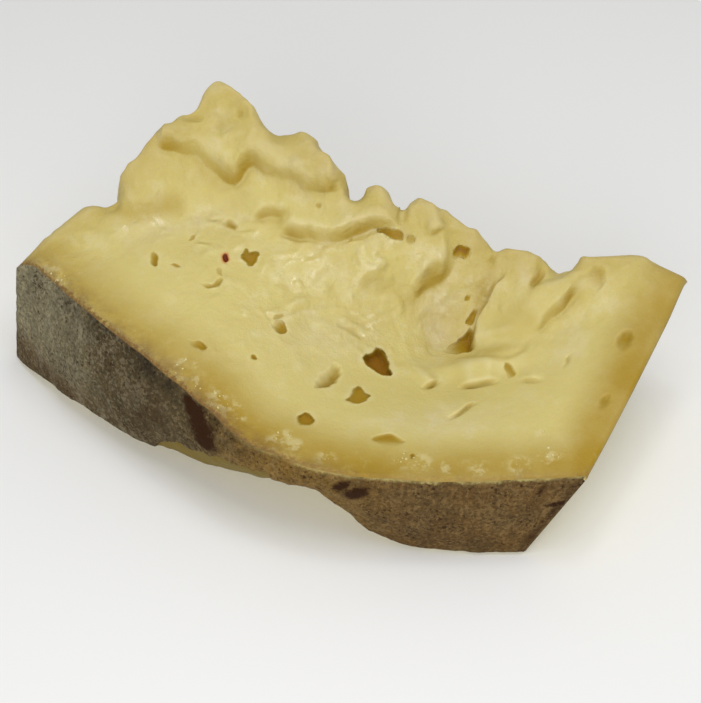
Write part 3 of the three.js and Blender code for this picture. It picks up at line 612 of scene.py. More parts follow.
def upper_face():
    """Points of the upper face and its point attributes."""
    u, v = np.linspace(0, 1, ALONG + 1), np.linspace(0, 1, ACROSS + 1)
    front, right, back, left = upper_edges(u, v)
    plan = spanned(front, right, back[:, :2], left[:, :2], u, v)
    shape, flat = plan.shape[:2], plan.reshape(-1, 2)
    gap = {"front": v * np.hypot(*(back[:, :2] - front).T)[:, None],
           "right": (1 - u)[:, None] * np.hypot(*(right - left[:, :2]).T)}
    inside = smooth(0, EDGE_FADE, np.minimum(gap["front"], gap["right"]))
    added, shift, _ = relief(flat)
    added = added.reshape(shape) * inside
    height = base_height(flat).reshape(shape) + added
    ridge = np.vstack([left, back[1:]])
    rise, away = beside_ridge(flat, ridge[:, :2], ridge[:, 2] - np.r_[height[0], height[1:, -1]])
    away = away.reshape(shape)
    height = height + rise.reshape(shape) * crag_fall(away, CRAG_REACH) - round_off(away, RIDGE_ROUNDING)
    # How far a point lies below its blurred surroundings, for painted shade in hollows.
    hollow = np.clip((blurred(height, HOLLOW_PASSES) - height) / 2, 0, 1)
    for side, radius in ROUNDING.items():
        height = height - round_off(gap[side], radius)
    lean = inside * smooth(0, 8, away)
    middle, left_damp = (soft_patch(flat, *place).reshape(shape) for place in DAMP)
    torn = PLAIN_TORN + (1 - PLAIN_TORN) * np.maximum(crag_fall(away, TORN_REACH), middle)
    shade_patches, milky = (np.max([soft_patch(flat, *place) for place in places], axis=0).reshape(shape)
                      for places in (PAINTED_SHADE, MILKY_SHEEN))
    # Gold tone by the rind, the knife cut and the ridges, with painted shade in hollows and in the shaded
    # patches.
    golden = np.maximum.reduce([*golden_edges(u, v, gap, away), 0.3 * hollow, shade_patches])
    points = np.concatenate([plan + lean[..., None] * shift.reshape(plan.shape), height[..., None]], axis=2)
    return points, {
        "torn": torn * smooth(0, 12, gap["right"]), "golden": golden, "milky": milky, "rim": gap["front"],
        "wet": np.maximum(middle, left_damp) * smooth(5, 16, away),
        "scuff": np.max([bell(np.hypot(*(flat - (x, y)).T) / radius) for x, y, radius in SCUFFS], axis=0),
        "plan_x": plan[..., 0], "plan_y": plan[..., 1],
        "bare": height - added, "inside": inside, "lean": lean}


def round_edge(front, right, back, left):
    """Values along the upper face's edges put in one row, round it from the rind's left end."""
    return np.concatenate([front[:-1], right[:-1], back[:0:-1], left[:0:-1]])


def lumps(x, z):
    """Soft lumps of a torn wall."""
    return sum(size * np.sin(along * x + across * z + start) * np.sin(up * z + across * x + 2 * start)
               for size, along, up, across, start in WALL_LUMPS)


class Walls:
    """The walls' columns: each goes from the upper edge to its foot, then under to the flat base."""

    def __init__(self, face, grid):
        u, v = np.linspace(0, 1, ALONG + 1), np.linspace(0, 1, ACROSS + 1)
        self.side = np.repeat([0, 1, 2, 3], [ALONG, ACROSS, ALONG, ACROSS])
        self.share = round_edge(u, v, u, v)
        self.loop = round_edge(grid[:, 0], grid[-1], grid[:, -1], grid[0])
        self.top = face.reshape(-1, 3)[self.loop]
        self.front = self.side == 0
        front_foot = wheel_points(FOOT_ANGLES, FOOT_OFFSET, self.share)
        ends = wheel_points(FOOT_ANGLES, FOOT_OFFSET, np.array([0.0, 1.0]))
        left_lean, right_lean = ends[0] - face[0, 0, :2], ends[1] - face[-1, 0, :2]
        leans = np.array([(left_lean, right_lean), (right_lean, CUT_LEAN),
                          (PEAK_LEAN, CUT_LEAN), (left_lean, PEAK_LEAN)])
        start, end = leans[self.side, 0], leans[self.side, 1]
        lean = start + (end - start) * self.share[:, None]
        self.foot = np.where(self.front[:, None], front_foot, self.top[:, :2] + lean)
        self.low = np.where(self.front, station(RIM_LOW, self.share), FOOT_EDGE)
        self.inset = np.where(self.front, station(BREAK_DEPTH, self.share), FOOT_BEVEL)
        self.middle = np.minimum(1, 6 * np.minimum(self.share, 1 - self.share))
        tangent = np.roll(self.foot, -FOOT_REACH, axis=0) - np.roll(self.foot, FOOT_REACH, axis=0)
        tangent /= np.hypot(*tangent.T)[:, None]
        self.out = np.stack([tangent[:, 1], -tangent[:, 0]], axis=1)

    def row(self, down, under):
        """Points at a share of the way down to the foot, then a share of the way under."""
        plan = self.top[:, :2] + (self.foot - self.top[:, :2]) * down
        vault = self.low * math.cos(under * math.pi / 2) ** 0.85 if under < 1 else 0 * self.low
        z = vault if under > 0 else self.top[:, 2] + (self.low - self.top[:, 2]) * down
        swell = max(math.sin(math.pi * down), 0)
        uneven = ROUGHNESS[self.side] * lumps(plan[:, 0], z) * swell**0.7
        push = self.middle * (BULGE[self.side] * swell + uneven) - self.inset * under
        push -= BARE_SINK * smooth(0.5, -0.5, self.cover(z)) * (under < 1)
        return np.column_stack([plan + push[:, None] * self.out, z])

    def cover(self, z):
        """How far above the rind's broken edge points of the front are, in millimetres."""
        ragged = 1.1 * np.sin(70 * self.share) + 0.8 * np.sin(171 * self.share + 1)
        return np.where(self.front, z - self.low - station(BARE_STRIP, self.share) - ragged, FAR)

    def stain(self, z):
        """How dark the rind is where it was wetted."""
        drop = self.top[:, 2] - z
        spots = [strength * bell((self.share - place) / length) * bell((drop - below) / height)
                 for place, length, below, height, strength in STAINS]
        return np.where(self.front, np.max(spots, axis=0), 0)


def chunk_arrays():
    """Vertices, faces and point attributes of the whole closed chunk, in millimetres."""
    face, upper = upper_face()
    grid = np.arange(face.shape[0] * face.shape[1]).reshape(face.shape[:2])
    walls = Walls(face, grid)
    quads = [np.stack([grid[:-1, :-1], grid[1:, :-1], grid[1:, 1:], grid[:-1, 1:]], axis=-1).reshape(-1, 4)]
    points = [face.reshape(-1, 3)]
    plain = {"upper": 1.0, "front": 0.0, "cover": FAR, "stain": 0.0, "drop": 0.0}
    shares = {name: [values.ravel()] for name, values in upper.items()}
    shares.update({name: [np.full(grid.size, value)] for name, value in plain.items()})

    def add_row(row, **values):
        points.append(row)
        for name, rows in shares.items():
            rows.append(np.broadcast_to(values.get(name, 0.0), len(row)))

    steps = [(k / ROWS_DOWN, 0) for k in range(1, ROWS_DOWN + 1)]
    steps += [(1, k / ROWS_UNDER) for k in range(1, ROWS_UNDER + 1)]
    for down, under in steps:
        row = walls.row(down, under)
        cover = walls.cover(row[:, 2])
        torn = np.where(walls.front, 0.5 * (cover < 0), WALL_TORN[walls.side] * walls.middle) * (under < 1)
        add_row(row, torn=torn, front=walls.front * (under == 0), cover=cover, stain=walls.stain(row[:, 2]),
                rim=FAR, drop=walls.top[:, 2] - row[:, 2])
    foot = points[-1]
    for k in range(1, BASE_RINGS):
        inner = foot.copy()
        inner[:, :2] += (BASE_CENTRE - foot[:, :2]) * k / BASE_RINGS
        add_row(inner, rim=FAR)
    add_row(np.array([[*BASE_CENTRE, 0.0]]), rim=FAR)
    ring, start = walls.loop, grid.size
    for _ in range(len(points) - 2):
        below = start + np.arange(len(ring))
        quads.append(np.stack([ring, below, np.roll(below, -1), np.roll(ring, -1)], axis=-1))
        ring, start = below, start + len(ring)
    fan = np.stack([ring, np.full(len(ring), start), np.roll(ring, -1)], axis=-1)
    attributes = {name: np.concatenate(rows) for name, rows in shares.items()}
    return np.vstack(points), [*np.vstack(quads).tolist(), *fan.tolist()], attributes


def eye_inset(eye, plan):
    """How far plan points lie inside an eye's rounded outline."""
    outline = np.array(eye.outline, float)
    inset = np.full(len(plan), -np.inf)
    centre = (outline.min(axis=0) + outline.max(axis=0)) / 2
    near = np.all(np.abs(plan - centre) < np.ptp(outline, axis=0) / 2 + EYE_MARGIN, axis=1)
    x, y = plan[near].T
    ragged = np.stack([np.sin(1.2 * y + np.sin(0.9 * x)), np.sin(1.1 * x + np.sin(y))], axis=1)
    plan = plan[near] + EYE_RAGGED * ragged
    for _ in range(2):
        after = np.roll(outline, -1, axis=0)
        outline = np.stack([0.8 * outline + 0.2 * after, 0.2 * outline + 0.8 * after], axis=1).reshape(-1, 2)
    nearest = np.full(len(plan), np.inf)
    within = np.zeros(len(plan), bool)
    for start, end in zip(outline, np.roll(outline, -1, axis=0)):
        step, off = end - start, plan - start
        t = np.clip(off @ step / (step @ step), 0, 1)
        nearest = np.minimum(nearest, np.hypot(*(off - t[:, None] * step).T))
        crosses = (start[1] > plan[:, 1]) != (end[1] > plan[:, 1])
        if step[1] != 0:
            within ^= crosses & (off[:, 0] < off[:, 1] * step[0] / step[1])
    inset[near] = np.where(within, nearest, -nearest)
    return inset


def eye_slope(eye, plan):
    """The share of an eye's depth at plan points: less away from its deepest side."""
    if eye.side is None:
        return 1
    towards = (math.cos(math.radians(eye.side)), math.sin(math.radians(eye.side)))
    low, high = np.sort(np.array(eye.outline) @ towards)[[0, -1]]
    return smooth(low - 1, high - 1, plan @ towards)


def read_points(mesh):
    points = np.empty(len(mesh.vertices) * 3)
    mesh.vertices.foreach_get("co", points)
    return points.reshape(-1, 3)


def read_attribute(mesh, name):
    values = np.empty(len(mesh.vertices))
    mesh.attributes[name].data.foreach_get("value", values)
    return values


def write_attribute(mesh, name, values):
    attribute = mesh.attributes.get(name) or mesh.attributes.new(name, "FLOAT", "POINT")
    attribute.data.foreach_set("value", np.asarray(values, np.float32))


def upper_plan(mesh):
    """Which of a mesh's points are the upper face's, and where all lay in plan before lips leaned over."""
    plan = np.column_stack([read_attribute(mesh, "plan_x"), read_attribute(mesh, "plan_y")])
    return read_attribute(mesh, "upper") > 0.5, plan


def by_paths(plan):
    paths = [feature.path for feature in (*LEDGES.values(), *GROOVES.values())]
    return np.min([np.abs(beside_path(plan, path)[0]) for path in paths], axis=0) < PATH_MARGIN


def by_eyes(plan):
    return np.max([eye_inset(eye, plan) for eye in EYES.values()], axis=0) > -EYE_MARGIN


def refine(mesh):
    """Divides the upper face more finely by its ledges and grooves, then by its eyes."""
    for near_feature in (by_paths, by_eyes):
        upper, plan = upper_plan(mesh)
        near = near_feature(plan) & upper
        shape = bmesh.new()
        shape.from_mesh(mesh)
        edges = [edge for edge in shape.edges if all(near[vert.index] for vert in edge.verts)]
        bmesh.ops.subdivide_edges(shape, edges=edges, cuts=1, use_grid_fill=True)
        shape.to_mesh(mesh)
        shape.free()


def raise_relief(mesh):
    """Shapes the ledges, grooves and wrinkles of the divided upper face, and paints shade into their creases.
    """
    points = read_points(mesh)
    upper, plan = upper_plan(mesh)
    plan = plan[upper]
    bare, inside, lean, golden = (read_attribute(mesh, name) for name in ("bare", "inside", "lean", "golden"))
    height, shift, crease = relief(plan)
    points[upper] = np.column_stack([plan + lean[upper, None] * shift, bare[upper] + height * inside[upper]])
    mesh.vertices.foreach_set("co", points.ravel())
    golden[upper] = np.maximum(golden[upper], crease * inside[upper])
    write_attribute(mesh, "golden", golden)


def carve_eyes(mesh):
    """Sinks the eyes into the upper face, and records each point's depth share in one times that eye's
    painted shade.
    """
    points = read_points(mesh)
    upper, plan = upper_plan(mesh)
    shade = np.zeros(len(points))
    for eye in EYES.values():
        way = np.clip((eye_inset(eye, plan) + 0.2) / eye.wall, 0, 1)
        fall = smooth(0, 1, way) if eye.wall >= SOFT_WALL else np.sqrt(1 - (1 - way) ** 2)
        sunk = np.where(upper, fall, 0) * eye_slope(eye, plan)
        points += (eye.depth * sunk)[:, None] * (0, eye.lean, -math.sqrt(1 - eye.lean**2))
        shade = np.maximum(shade, sunk * eye.shade)
    mesh.vertices.foreach_set("co", points.ravel())
    write_attribute(mesh, "eye", shade)
    speck = np.clip((eye_inset(EYES["red speck"], plan) + EYE_MARGIN) / SPECK_REACH, 0, 1)
    write_attribute(mesh, "red", np.where(upper, speck, 0))


def write_cavities(mesh):
    """Records how far each point lies below (up to 1) or above (down to -1) what is round it."""
    points = read_points(mesh)
    edges = np.empty(2 * len(mesh.edges), np.int32)
    mesh.edges.foreach_get("vertices", edges)
    ends, others = edges.reshape(-1, 2).T
    ends, others = np.r_[ends, others], np.r_[others, ends]
    total = len(points)
    count = np.bincount(ends, minlength=total)
    around = points
    for _ in range(CAVITY_PASSES):
        around = np.stack([np.bincount(ends, column[others], total) / count for column in around.T], axis=1)
    normals = np.empty(points.size)
    mesh.vertices.foreach_get("normal", normals)
    sunk = ((around - points) * normals.reshape(-1, 3)).sum(axis=1)
    share = np.minimum(np.abs(sunk) / CAVITY_DEPTH, 1)
    seen = WALL_CAVITY + (1 - WALL_CAVITY) * read_attribute(mesh, "upper")
    write_attribute(mesh, "cavity", np.sign(sunk) * share**CAVITY_POWER * seen)


class Output:
    """A node's output that is reckoned with as a number is: each sign adds a node to its tree."""

    def __init__(self, socket):
        self.socket = socket
        self.tree = socket.id_data

    def __add__(self, other):
        return reckon("ADD", self, other)

    def __sub__(self, other):
        return reckon("SUBTRACT", self, other)

    def __rsub__(self, other):
        return reckon("SUBTRACT", other, self)

    def __mul__(self, other):
        return reckon("MULTIPLY", self, other)

    def __truediv__(self, other):
        return reckon("DIVIDE", self, other)

    def __rtruediv__(self, other):
        return reckon("DIVIDE", other, self)

    def remap(self, low, high, to_low=0.0, to_high=1.0):
        """The number carried smoothly from one range to another."""
        limits = {"Value": self, "From Min": low, "From Max": high, "To Min": to_low, "To Max": to_high}
        return add(self.tree, "ShaderNodeMapRange", limits, interpolation_type="SMOOTHSTEP")

    def mix(self, below, above):
        """A colour mixed from two, with this share of the second."""
        return add(self.tree, "ShaderNodeMix", {0: self, 6: below, 7: above}, output=2, data_type="RGBA")

    def scaled(self, amount):
        """The colour or vector made larger or smaller by an amount."""
        return add(self.tree, "ShaderNodeVectorMath", {0: self, "Scale": amount}, operation="SCALE")

    def beside(self, name):
        """Another output of the same node."""
        return Output(self.socket.node.outputs[name])


def fill(node, inputs):
    """Links a node's inputs to others' outputs, or sets them to values."""
    for name, value in inputs.items():
        socket = node.inputs[name]
        if isinstance(value, Output):
            node.id_data.links.new(value.socket, socket)
        else:
            socket.default_value = (*value, 1) if socket.type == "RGBA" else value


def add(tree, kind, inputs=None, output=0, **settings):
    """One output of a new node with its settings and inputs."""
    node = tree.nodes.new(kind)
    for name, value in settings.items():
        setattr(node, name, value)
    fill(node, inputs or {})
    return Output(node.outputs[output])


def reckon(operation, *values):
    """A number worked out from others, at least one of them a node's output."""
    tree = next(value.tree for value in values if isinstance(value, Output))
    return add(tree, "ShaderNodeMath", dict(enumerate(values)), operation=operation)


def larger(one, other):
    return reckon("MAXIMUM", one, other)


def new_group(kind, name, inputs, result):
    """A node group with named inputs, each a number or a kind of socket, and one result."""
    tree = bpy.data.node_groups.new(name, kind)
    for label, value in inputs.items():
        is_kind = isinstance(value, str)
        socket = tree.interface.new_socket(label, in_out="INPUT", socket_type=value if is_kind else NUMBER)
        if not is_kind:
            socket.default_value = value
    tree.interface.new_socket(result, in_out="OUTPUT", socket_type=inputs.get(result, NUMBER))
    given = {socket.name: Output(socket) for socket in tree.nodes.new("NodeGroupInput").outputs}
    return tree, given, tree.nodes.new("NodeGroupOutput")


def object_place(tree):
    return add(tree, "ShaderNodeTexCoord", output="Object")


def mottle_group():
    """Cloudy variation of a given size, drawn out upright where wanted, between two limits."""
    tree, given, result = new_group("ShaderNodeTree", "Mottle", {
        "Size": 0.01, "Low": 0.35, "High": 0.65, "Upright": 1.0, "Roughness": 0.6}, "Amount")
    stretch = add(tree, "ShaderNodeCombineXYZ", {0: 1.0, 1: 1.0, 2: given["Upright"]})
    drawn = add(tree, "ShaderNodeVectorMath", {0: object_place(tree), 1: stretch}, operation="MULTIPLY")
    noise = add(tree, "ShaderNodeTexNoise", {
        "Vector": drawn, "Scale": 1.0 / given["Size"], "Detail": 5.0, "Roughness": given["Roughness"]})
    fill(result, {"Amount": noise.remap(given["Low"], given["High"])})
    return tree


def wrinkle_group():
    """The height of fine crinkles of a given size."""
    tree, given, result = new_group("ShaderNodeTree", "Wrinkle", {"Size": 0.006}, "Height")
    fill(result, {"Height": add(tree, "ShaderNodeTexNoise", {
        "Vector": object_place(tree), "Scale": 1.0 / given["Size"], "Detail": 2.0, "Distortion": 1.2},
        noise_type="RIDGED_MULTIFRACTAL")})
    return tree


def speckle_group():
    """Ragged specks of a given size, in loose clusters."""
    tree, given, result = new_group(
        "ShaderNodeTree", "Speckle", {"Size": 0.002, "Share": 0.4, "Cluster": 0.012}, "Amount")
    specks, groups = (add(tree, "ShaderNodeTexNoise", {
        "Vector": object_place(tree), "Scale": 1.0 / given[name], "Detail": 2.0, "Roughness": 0.5})
        for name in ("Size", "Cluster"))
    limit = 1.05 - given["Share"] * 0.5
    fill(result, {"Amount": (groups * 0.5 + specks - limit).remap(0.0, 0.05)})
    return tree


def ball_cuts(tree, place, spacing, radius):
    """1 inside the round eyes that scattered balls cut into a surface, and nought outside them."""
    distance = add(tree, "ShaderNodeTexVoronoi", {"Vector": place, "Scale": 1.0 / spacing}, output="Distance")
    edge = radius / spacing
    return distance.remap(edge, edge * 0.45)


def hole_group(shape):
    """Round eyes of a given size and spacing, where the surface lay before it was sunk."""
    tree, given, result = new_group(
        "ShaderNodeTree", "Holes", {"Spacing": shape.eye_spacing, "Radius": shape.eye_radius}, "Amount")
    place = add(tree, "ShaderNodeAttribute", output="Vector", attribute_name="place")
    fill(result, {"Amount": ball_cuts(tree, place, given["Spacing"], given["Radius"])})
    return tree


def place_group(tree, group, **values):
    inputs = {name.title(): value for name, value in values.items()}
    return add(tree, "ShaderNodeGroup", inputs, node_tree=group)


def new_material(name):
    """A material, its tree, its shader, and a way to read the surface's attributes in it."""
    material = bpy.data.materials.new(name)
    material.use_nodes = True
    tree = material.node_tree

    def attribute(label):
        return add(tree, "ShaderNodeAttribute", output="Fac", attribute_name=label)

    return material, tree, tree.nodes["Principled BSDF"], attribute


def object_x(tree):
    return add(tree, "ShaderNodeSeparateXYZ", {"Vector": object_place(tree)}, output="X")


def paste_material(finish, mottle, wrinkle, holes):
    """Waxy paste: paler and wetter where torn, with painted highlights on crests, gold-toned by the rind, and
    painted shade in creases, hollows and inside the eyes.
    """
    material, tree, shader, attribute = new_material("gruyere_paste")
    cloud, crinkle = partial(place_group, tree, mottle), partial(place_group, tree, wrinkle)
    torn, rim, wet, cavity, red = (attribute(name) for name in ("torn", "rim", "wet", "cavity", "red"))
    wisps = cloud(size=0.012, low=0.45, high=0.7)
    # Eyes on the hidden sides: sunk for bumps, and darkened inside with painted shade.
    sides = place_group(tree, holes) * attribute("upper").remap(0.2, 0.0) * torn.remap(0.0, 0.04)
    eye = larger(attribute("eye"), sides * 0.7)
    # Where the paste is glossy, and where painted highlights go on its crinkles.
    damp = wet * cloud(size=0.02, low=0.4, high=0.6) * eye.remap(0.3, 0.05)
    crinkles = crinkle(size=0.011)
    tears = crinkle(size=0.02) * torn.remap(0.3, 0.9)
    # Gold tone by the rind, with painted shade in creases and under lips.
    golden = attribute("golden") * (cloud(size=0.035) * 0.25 + 0.85)
    bloom = cloud(size=0.007, low=0.52, high=0.72, roughness=0.75)
    flakes = cloud(size=0.0055, low=0.48, high=0.62, roughness=0.65)
    left = object_x(tree).remap(0.02, -0.05, 0.3, 1.0)
    rim_shade = cloud(size=0.012, low=0.3, high=0.65, roughness=0.7)
    frayed = cloud(size=0.002, low=0.3, high=0.7, roughness=0.75)
    # Cream wisps on torn paste, partly paler paste and partly painted highlight.
    colour = (wisps * torn.remap(0.1, 0.7, 0.3, 0.7)).mix(finish.paste, finish.cream)
    for share, above in (
            # Milky places: pale paste with painted sheen.
            (attribute("milky") * (wisps * 0.6 + 0.4), finish.damp),
            # Painted highlight on crinkle crests.
            (damp * crinkles.remap(0.5, 1.1, 0.0, 0.6), finish.damp),
            # Painted shade in the crinkles' troughs.
            (damp * crinkles.remap(0.5, 0.1, 0.0, 0.12), finish.golden),
            # Painted highlight on the crests of the tears.
            (tears.remap(0.5, 1.1, 0.0, 0.5), finish.cream),
            # Painted highlight on raised edges and crests.
            (cavity.remap(-0.1, -0.7, 0.0, 0.6), finish.cream),
            # Painted shade in creases and hollows, over the gold tone by the rind.
            (larger(golden, cavity.remap(0.25, 1.0, 0.0, 0.6)), finish.golden),
            (bloom * rim.remap(16.0, 8.0, 0.0, 0.2), finish.cream),
            (flakes * attribute("scuff").remap(0.1, 0.7, 0.0, 0.5), finish.cream),
            # Painted shade by the rind's left edge, then the real brown line just below the rind.
            (rim_shade * rim.remap(10.0, 0.5, 0.0, 0.8) * left, finish.crust),
            ((frayed * -2.6 + rim).remap(1.0, -1.4) * left, finish.crust),
            # Painted shade inside the eyes, deepening to brown.
            (eye.remap(0.0, 0.65), finish.golden),
            (eye.remap(0.55, 1.0), finish.eye),
            (red.remap(0.0, 0.7, 0.0, 0.6), finish.halo),
            (red.remap(0.7, 0.9), finish.red)):
        colour = share.mix(colour, above)
    grain = cloud(size=0.0035, low=0.3, high=0.7) * torn.remap(0.1, 0.8, 0.35, 1.0)
    normal = {}
    for height, strength, distance in (
            (grain, 0.35, 0.0008), (tears, 0.5, 0.0025), (crinkles * wet, 0.8, 0.0016),
            (sides * -1.0, 1.0, 0.003), (cloud(size=0.0012, low=0.25, high=0.75), 0.15, 0.0003)):
        normal = {"Normal": add(tree, "ShaderNodeBump", {
            "Height": height, "Strength": strength, "Distance": distance, **normal})}
    fill(shader, {
        "Base Color": colour, "Roughness": (wisps * 0.5 + damp).remap(0.0, 1.2, 0.5, 0.2),
        "Subsurface Weight": 0.3, "Subsurface Radius": (1.0, 0.62, 0.18), "Subsurface Scale": finish.glow,
        "Specular IOR Level": 0.25, "Coat Weight": damp * 0.8, "Coat Roughness": 0.15, **normal})
    return material


def rind_material(finish, mottle, speckle):
    """Dry washed rind: grey at one end, tan at the other, with dark pores, and bare paste where it broke."""
    material, tree, shader, attribute = new_material("gruyere_rind")
    cloud, specks = partial(place_group, tree, mottle), partial(place_group, tree, speckle)
    along, drop = object_x(tree), attribute("drop")
    streaks = cloud(size=0.006, low=0.3, high=0.7, upright=0.5, roughness=0.65)
    grain = cloud(size=0.0016, low=0.25, high=0.75, roughness=0.65)
    chalk = cloud(size=0.009, low=0.45, high=0.7, upright=0.6, roughness=0.75)
    pores = specks(size=0.0014, share=0.34, cluster=0.012)
    film = along.remap(-0.12, -0.03).mix(finish.chalk_grey, finish.chalk_tan)
    smoke = cloud(size=0.018, low=0.38, high=0.6, roughness=0.7)
    dark = smoke * drop.remap(13.0, 1.0) * along.remap(-0.14, -0.115) * along.remap(-0.025, -0.05)
    worn = (grain * 1.5 + drop).remap(2.6, 0.9, 0.0, 0.6) * cloud(size=0.012, low=0.35, high=0.6)
    blots = cloud(size=0.009, low=0.3, high=0.65, roughness=0.75)
    wet = grain * 0.3 + attribute("stain") * (blots * 1.1 + 0.35)
    bare = (grain * 1.5 + attribute("cover")).remap(1.2, 0.2)
    colour = along.remap(-0.128, -0.098).mix(finish.rind_grey, finish.rind_brown)
    for share, above in (
            (along.remap(-0.065, -0.035), finish.rind_warm),
            (along.remap(-0.01, 0.03), finish.rind_tan),
            (cloud(size=0.022) * 0.35, finish.rind_brown),
            # Darker brown towards the foot of the grey end.
            (drop.remap(30.0, 52.0) * along.remap(-0.085, -0.125, 0.0, 0.9), finish.rind_rust),
            (chalk * 0.2, film),
            (grain * 0.9 + 0.5, None),
            (specks(size=0.0018, share=0.5, cluster=0.02) * 0.2, film),
            (streaks * 0.3 + 0.84, None),
            (pores * 0.7, finish.rind_dark),
            (dark * -0.62 + 1.0, None),
            (worn * along.remap(-0.06, 0.0), finish.paste),
            (wet.remap(0.25, 0.8), finish.rind_dark),
            # Bare paste below the broken rind, its tone darkened with painted shade.
            (bare, finish.bare)):
        colour = colour.scaled(share) if above is None else share.mix(colour, above)
    height = (pores * -1.5 + (grain + streaks)) * bare.remap(0.0, 1.0, 1.0, 0.15)
    fill(shader, {
        "Base Color": colour, "Roughness": bare.remap(0.0, 1.0, 0.85, 0.5), "Specular IOR Level": 0.15,
        "Normal": add(tree, "ShaderNodeBump", {"Height": height, "Strength": 0.45, "Distance": 0.0009})})
    return material


def crumb_material(finish, mottle):
    """Pale dry crumbs."""
    material, tree, shader, _ = new_material("gruyere_crumb")
    colour = place_group(tree, mottle, size=0.01).mix(finish.cream, finish.paste)
    fill(shader, {"Base Color": colour, "Roughness": 0.6})
    return material


def noise_height(tree, size, depth, detail, kind="FBM"):
    """Noise of a size, centred on nought, times a depth."""
    place = add(tree, "GeometryNodeInputPosition")
    noise = add(tree, "ShaderNodeTexNoise", {"Vector": place, "Scale": 1.0 / size, "Detail": detail},
                noise_type=kind)
    return (noise - 0.5) * depth


def pushed_out(geometry, height):
    """Geometry moved along its normals."""
    tree = geometry.tree
    offset = add(tree, "GeometryNodeInputNormal").scaled(height)
    return add(tree, "GeometryNodeSetPosition", {"Geometry": geometry, "Offset": offset})


def finished(geometry, material):
    """Geometry made real and smooth, with a material."""
    tree = geometry.tree
    smooth_faces = add(tree, "GeometryNodeSetShadeSmooth", {"Geometry": geometry})
    real = add(tree, "GeometryNodeRealizeInstances", {"Geometry": smooth_faces})
    return add(tree, "GeometryNodeSetMaterial", {"Geometry": real, "Material": material})


def relief_tree():
    """Lumps and folds on torn paste, eyes on the hidden sides, and bumps on the rind."""
    tree, given, result = new_group("GeometryNodeTree", "Cheese relief", {
        "Geometry": "NodeSocketGeometry", "Torn Size": 0.016, "Torn Depth": 0.002, "Fold Size": 0.008,
        "Fold Depth": 0.001, "Rind Size": 0.006, "Rind Depth": 0.001, "Eye Spacing": 0.024,
        "Eye Radius": 0.004, "Eye Depth": 0.0025, "Paste": MATERIAL, "Rind": MATERIAL}, "Geometry")
    torn, front, eye, cover, upper = (
        add(tree, "GeometryNodeInputNamedAttribute", {"Name": name}, data_type="FLOAT")
        for name in ("torn", "front", "eye", "cover", "upper"))
    place = add(tree, "GeometryNodeInputPosition")
    kept = add(tree, "GeometryNodeStoreNamedAttribute", {
        "Geometry": given["Geometry"], "Name": "place", "Value": place},
        data_type="FLOAT_VECTOR", domain="POINT")
    lump = noise_height(tree, given["Torn Size"], given["Torn Depth"], 1.0)
    fold = noise_height(tree, given["Fold Size"], given["Fold Depth"], 2.0, "RIDGED_MULTIFRACTAL")
    hidden = larger(torn.remap(0.0, 0.04) - larger(upper, front), 0.0)
    sunk = ball_cuts(tree, place, given["Eye Spacing"], given["Eye Radius"]) * hidden * given["Eye Depth"]
    paste = (lump + fold) * torn * (1.0 - eye) - sunk
    bumps = noise_height(tree, given["Rind Size"], given["Rind Depth"], 4.0) * (front * cover.remap(0.0, 1.0))
    pasted = finished(pushed_out(kept, paste + bumps), given["Paste"])
    on_rind = add(tree, "FunctionNodeCompare", {0: front, 1: 0.4}, operation="GREATER_THAN")
    fill(result, {"Geometry": add(tree, "GeometryNodeSetMaterial", {
        "Geometry": pasted, "Selection": on_rind, "Material": given["Rind"]})})
    return tree


def crumb_tree():
    """Small flat crumbs scattered where the surface says, each turned and sized by chance."""
    tree, given, result = new_group("GeometryNodeTree", "Crumbs", {
        "Geometry": "NodeSocketGeometry", "Density": 1000.0, "Size": 0.002, "Seed": "NodeSocketInt",
        "Material": MATERIAL}, "Geometry")
    crumb = add(tree, "GeometryNodeInputNamedAttribute", {"Name": "crumb"}, data_type="FLOAT")
    density = crumb * given["Density"]
    points = add(tree, "GeometryNodeDistributePointsOnFaces", {
        "Mesh": given["Geometry"], "Density": density, "Seed": given["Seed"]}, output="Points")
    ball = add(tree, "GeometryNodeMeshIcoSphere", {"Radius": 0.5, "Subdivisions": 2})
    lump = pushed_out(ball, noise_height(tree, 0.6, 0.7, 2.0))
    flat = add(tree, "GeometryNodeTransform", {"Geometry": lump, "Scale": (1.0, 0.75, 0.45)})
    chance = add(tree, "FunctionNodeRandomValue", {2: 0.25, 3: 1.0, "Seed": given["Seed"]}, output=1,
                 data_type="FLOAT")
    spin = add(tree, "FunctionNodeRandomValue", {
        0: (-0.4, -0.4, 0.0), 1: (0.4, 0.4, 2 * math.pi), "Seed": given["Seed"]}, data_type="FLOAT_VECTOR")
    turned = add(tree, "FunctionNodeRotateRotation", {
        "Rotation": points.beside("Rotation"), "Rotate By": spin}, rotation_space="LOCAL")
    placed = add(tree, "GeometryNodeInstanceOnPoints", {
        "Points": points, "Instance": flat, "Rotation": turned,
        "Scale": reckon("POWER", chance, 2.0) * given["Size"]})
    fill(result, {"Geometry": finished(placed, given["Material"])})
    return tree


def tree_inputs(settings):
    """A property group's values, by the names that a tree's inputs have."""
    return {key.replace("_", " ").title(): getattr(settings, key) for key in type(settings).__annotations__}


def baked(mesh, tree, values, name):
    """A plain object whose mesh is what the tree makes of the given one."""
    source = bpy.data.objects.new(name + "_source", mesh)
    bpy.context.scene.collection.objects.link(source)
    modifier = source.modifiers.new(tree.name, "NODES")
    modifier.node_group = tree
    for item in tree.interface.items_tree:
        if item.in_out == "INPUT" and item.name in values:
            modifier[item.identifier] = values[item.name]
    evaluated = source.evaluated_get(bpy.context.evaluated_depsgraph_get())
    result = bpy.data.meshes.new_from_object(evaluated)
    source.modifiers.remove(modifier)
    bpy.data.objects.remove(source)
    result.name = name
    return placed_object(name, result)


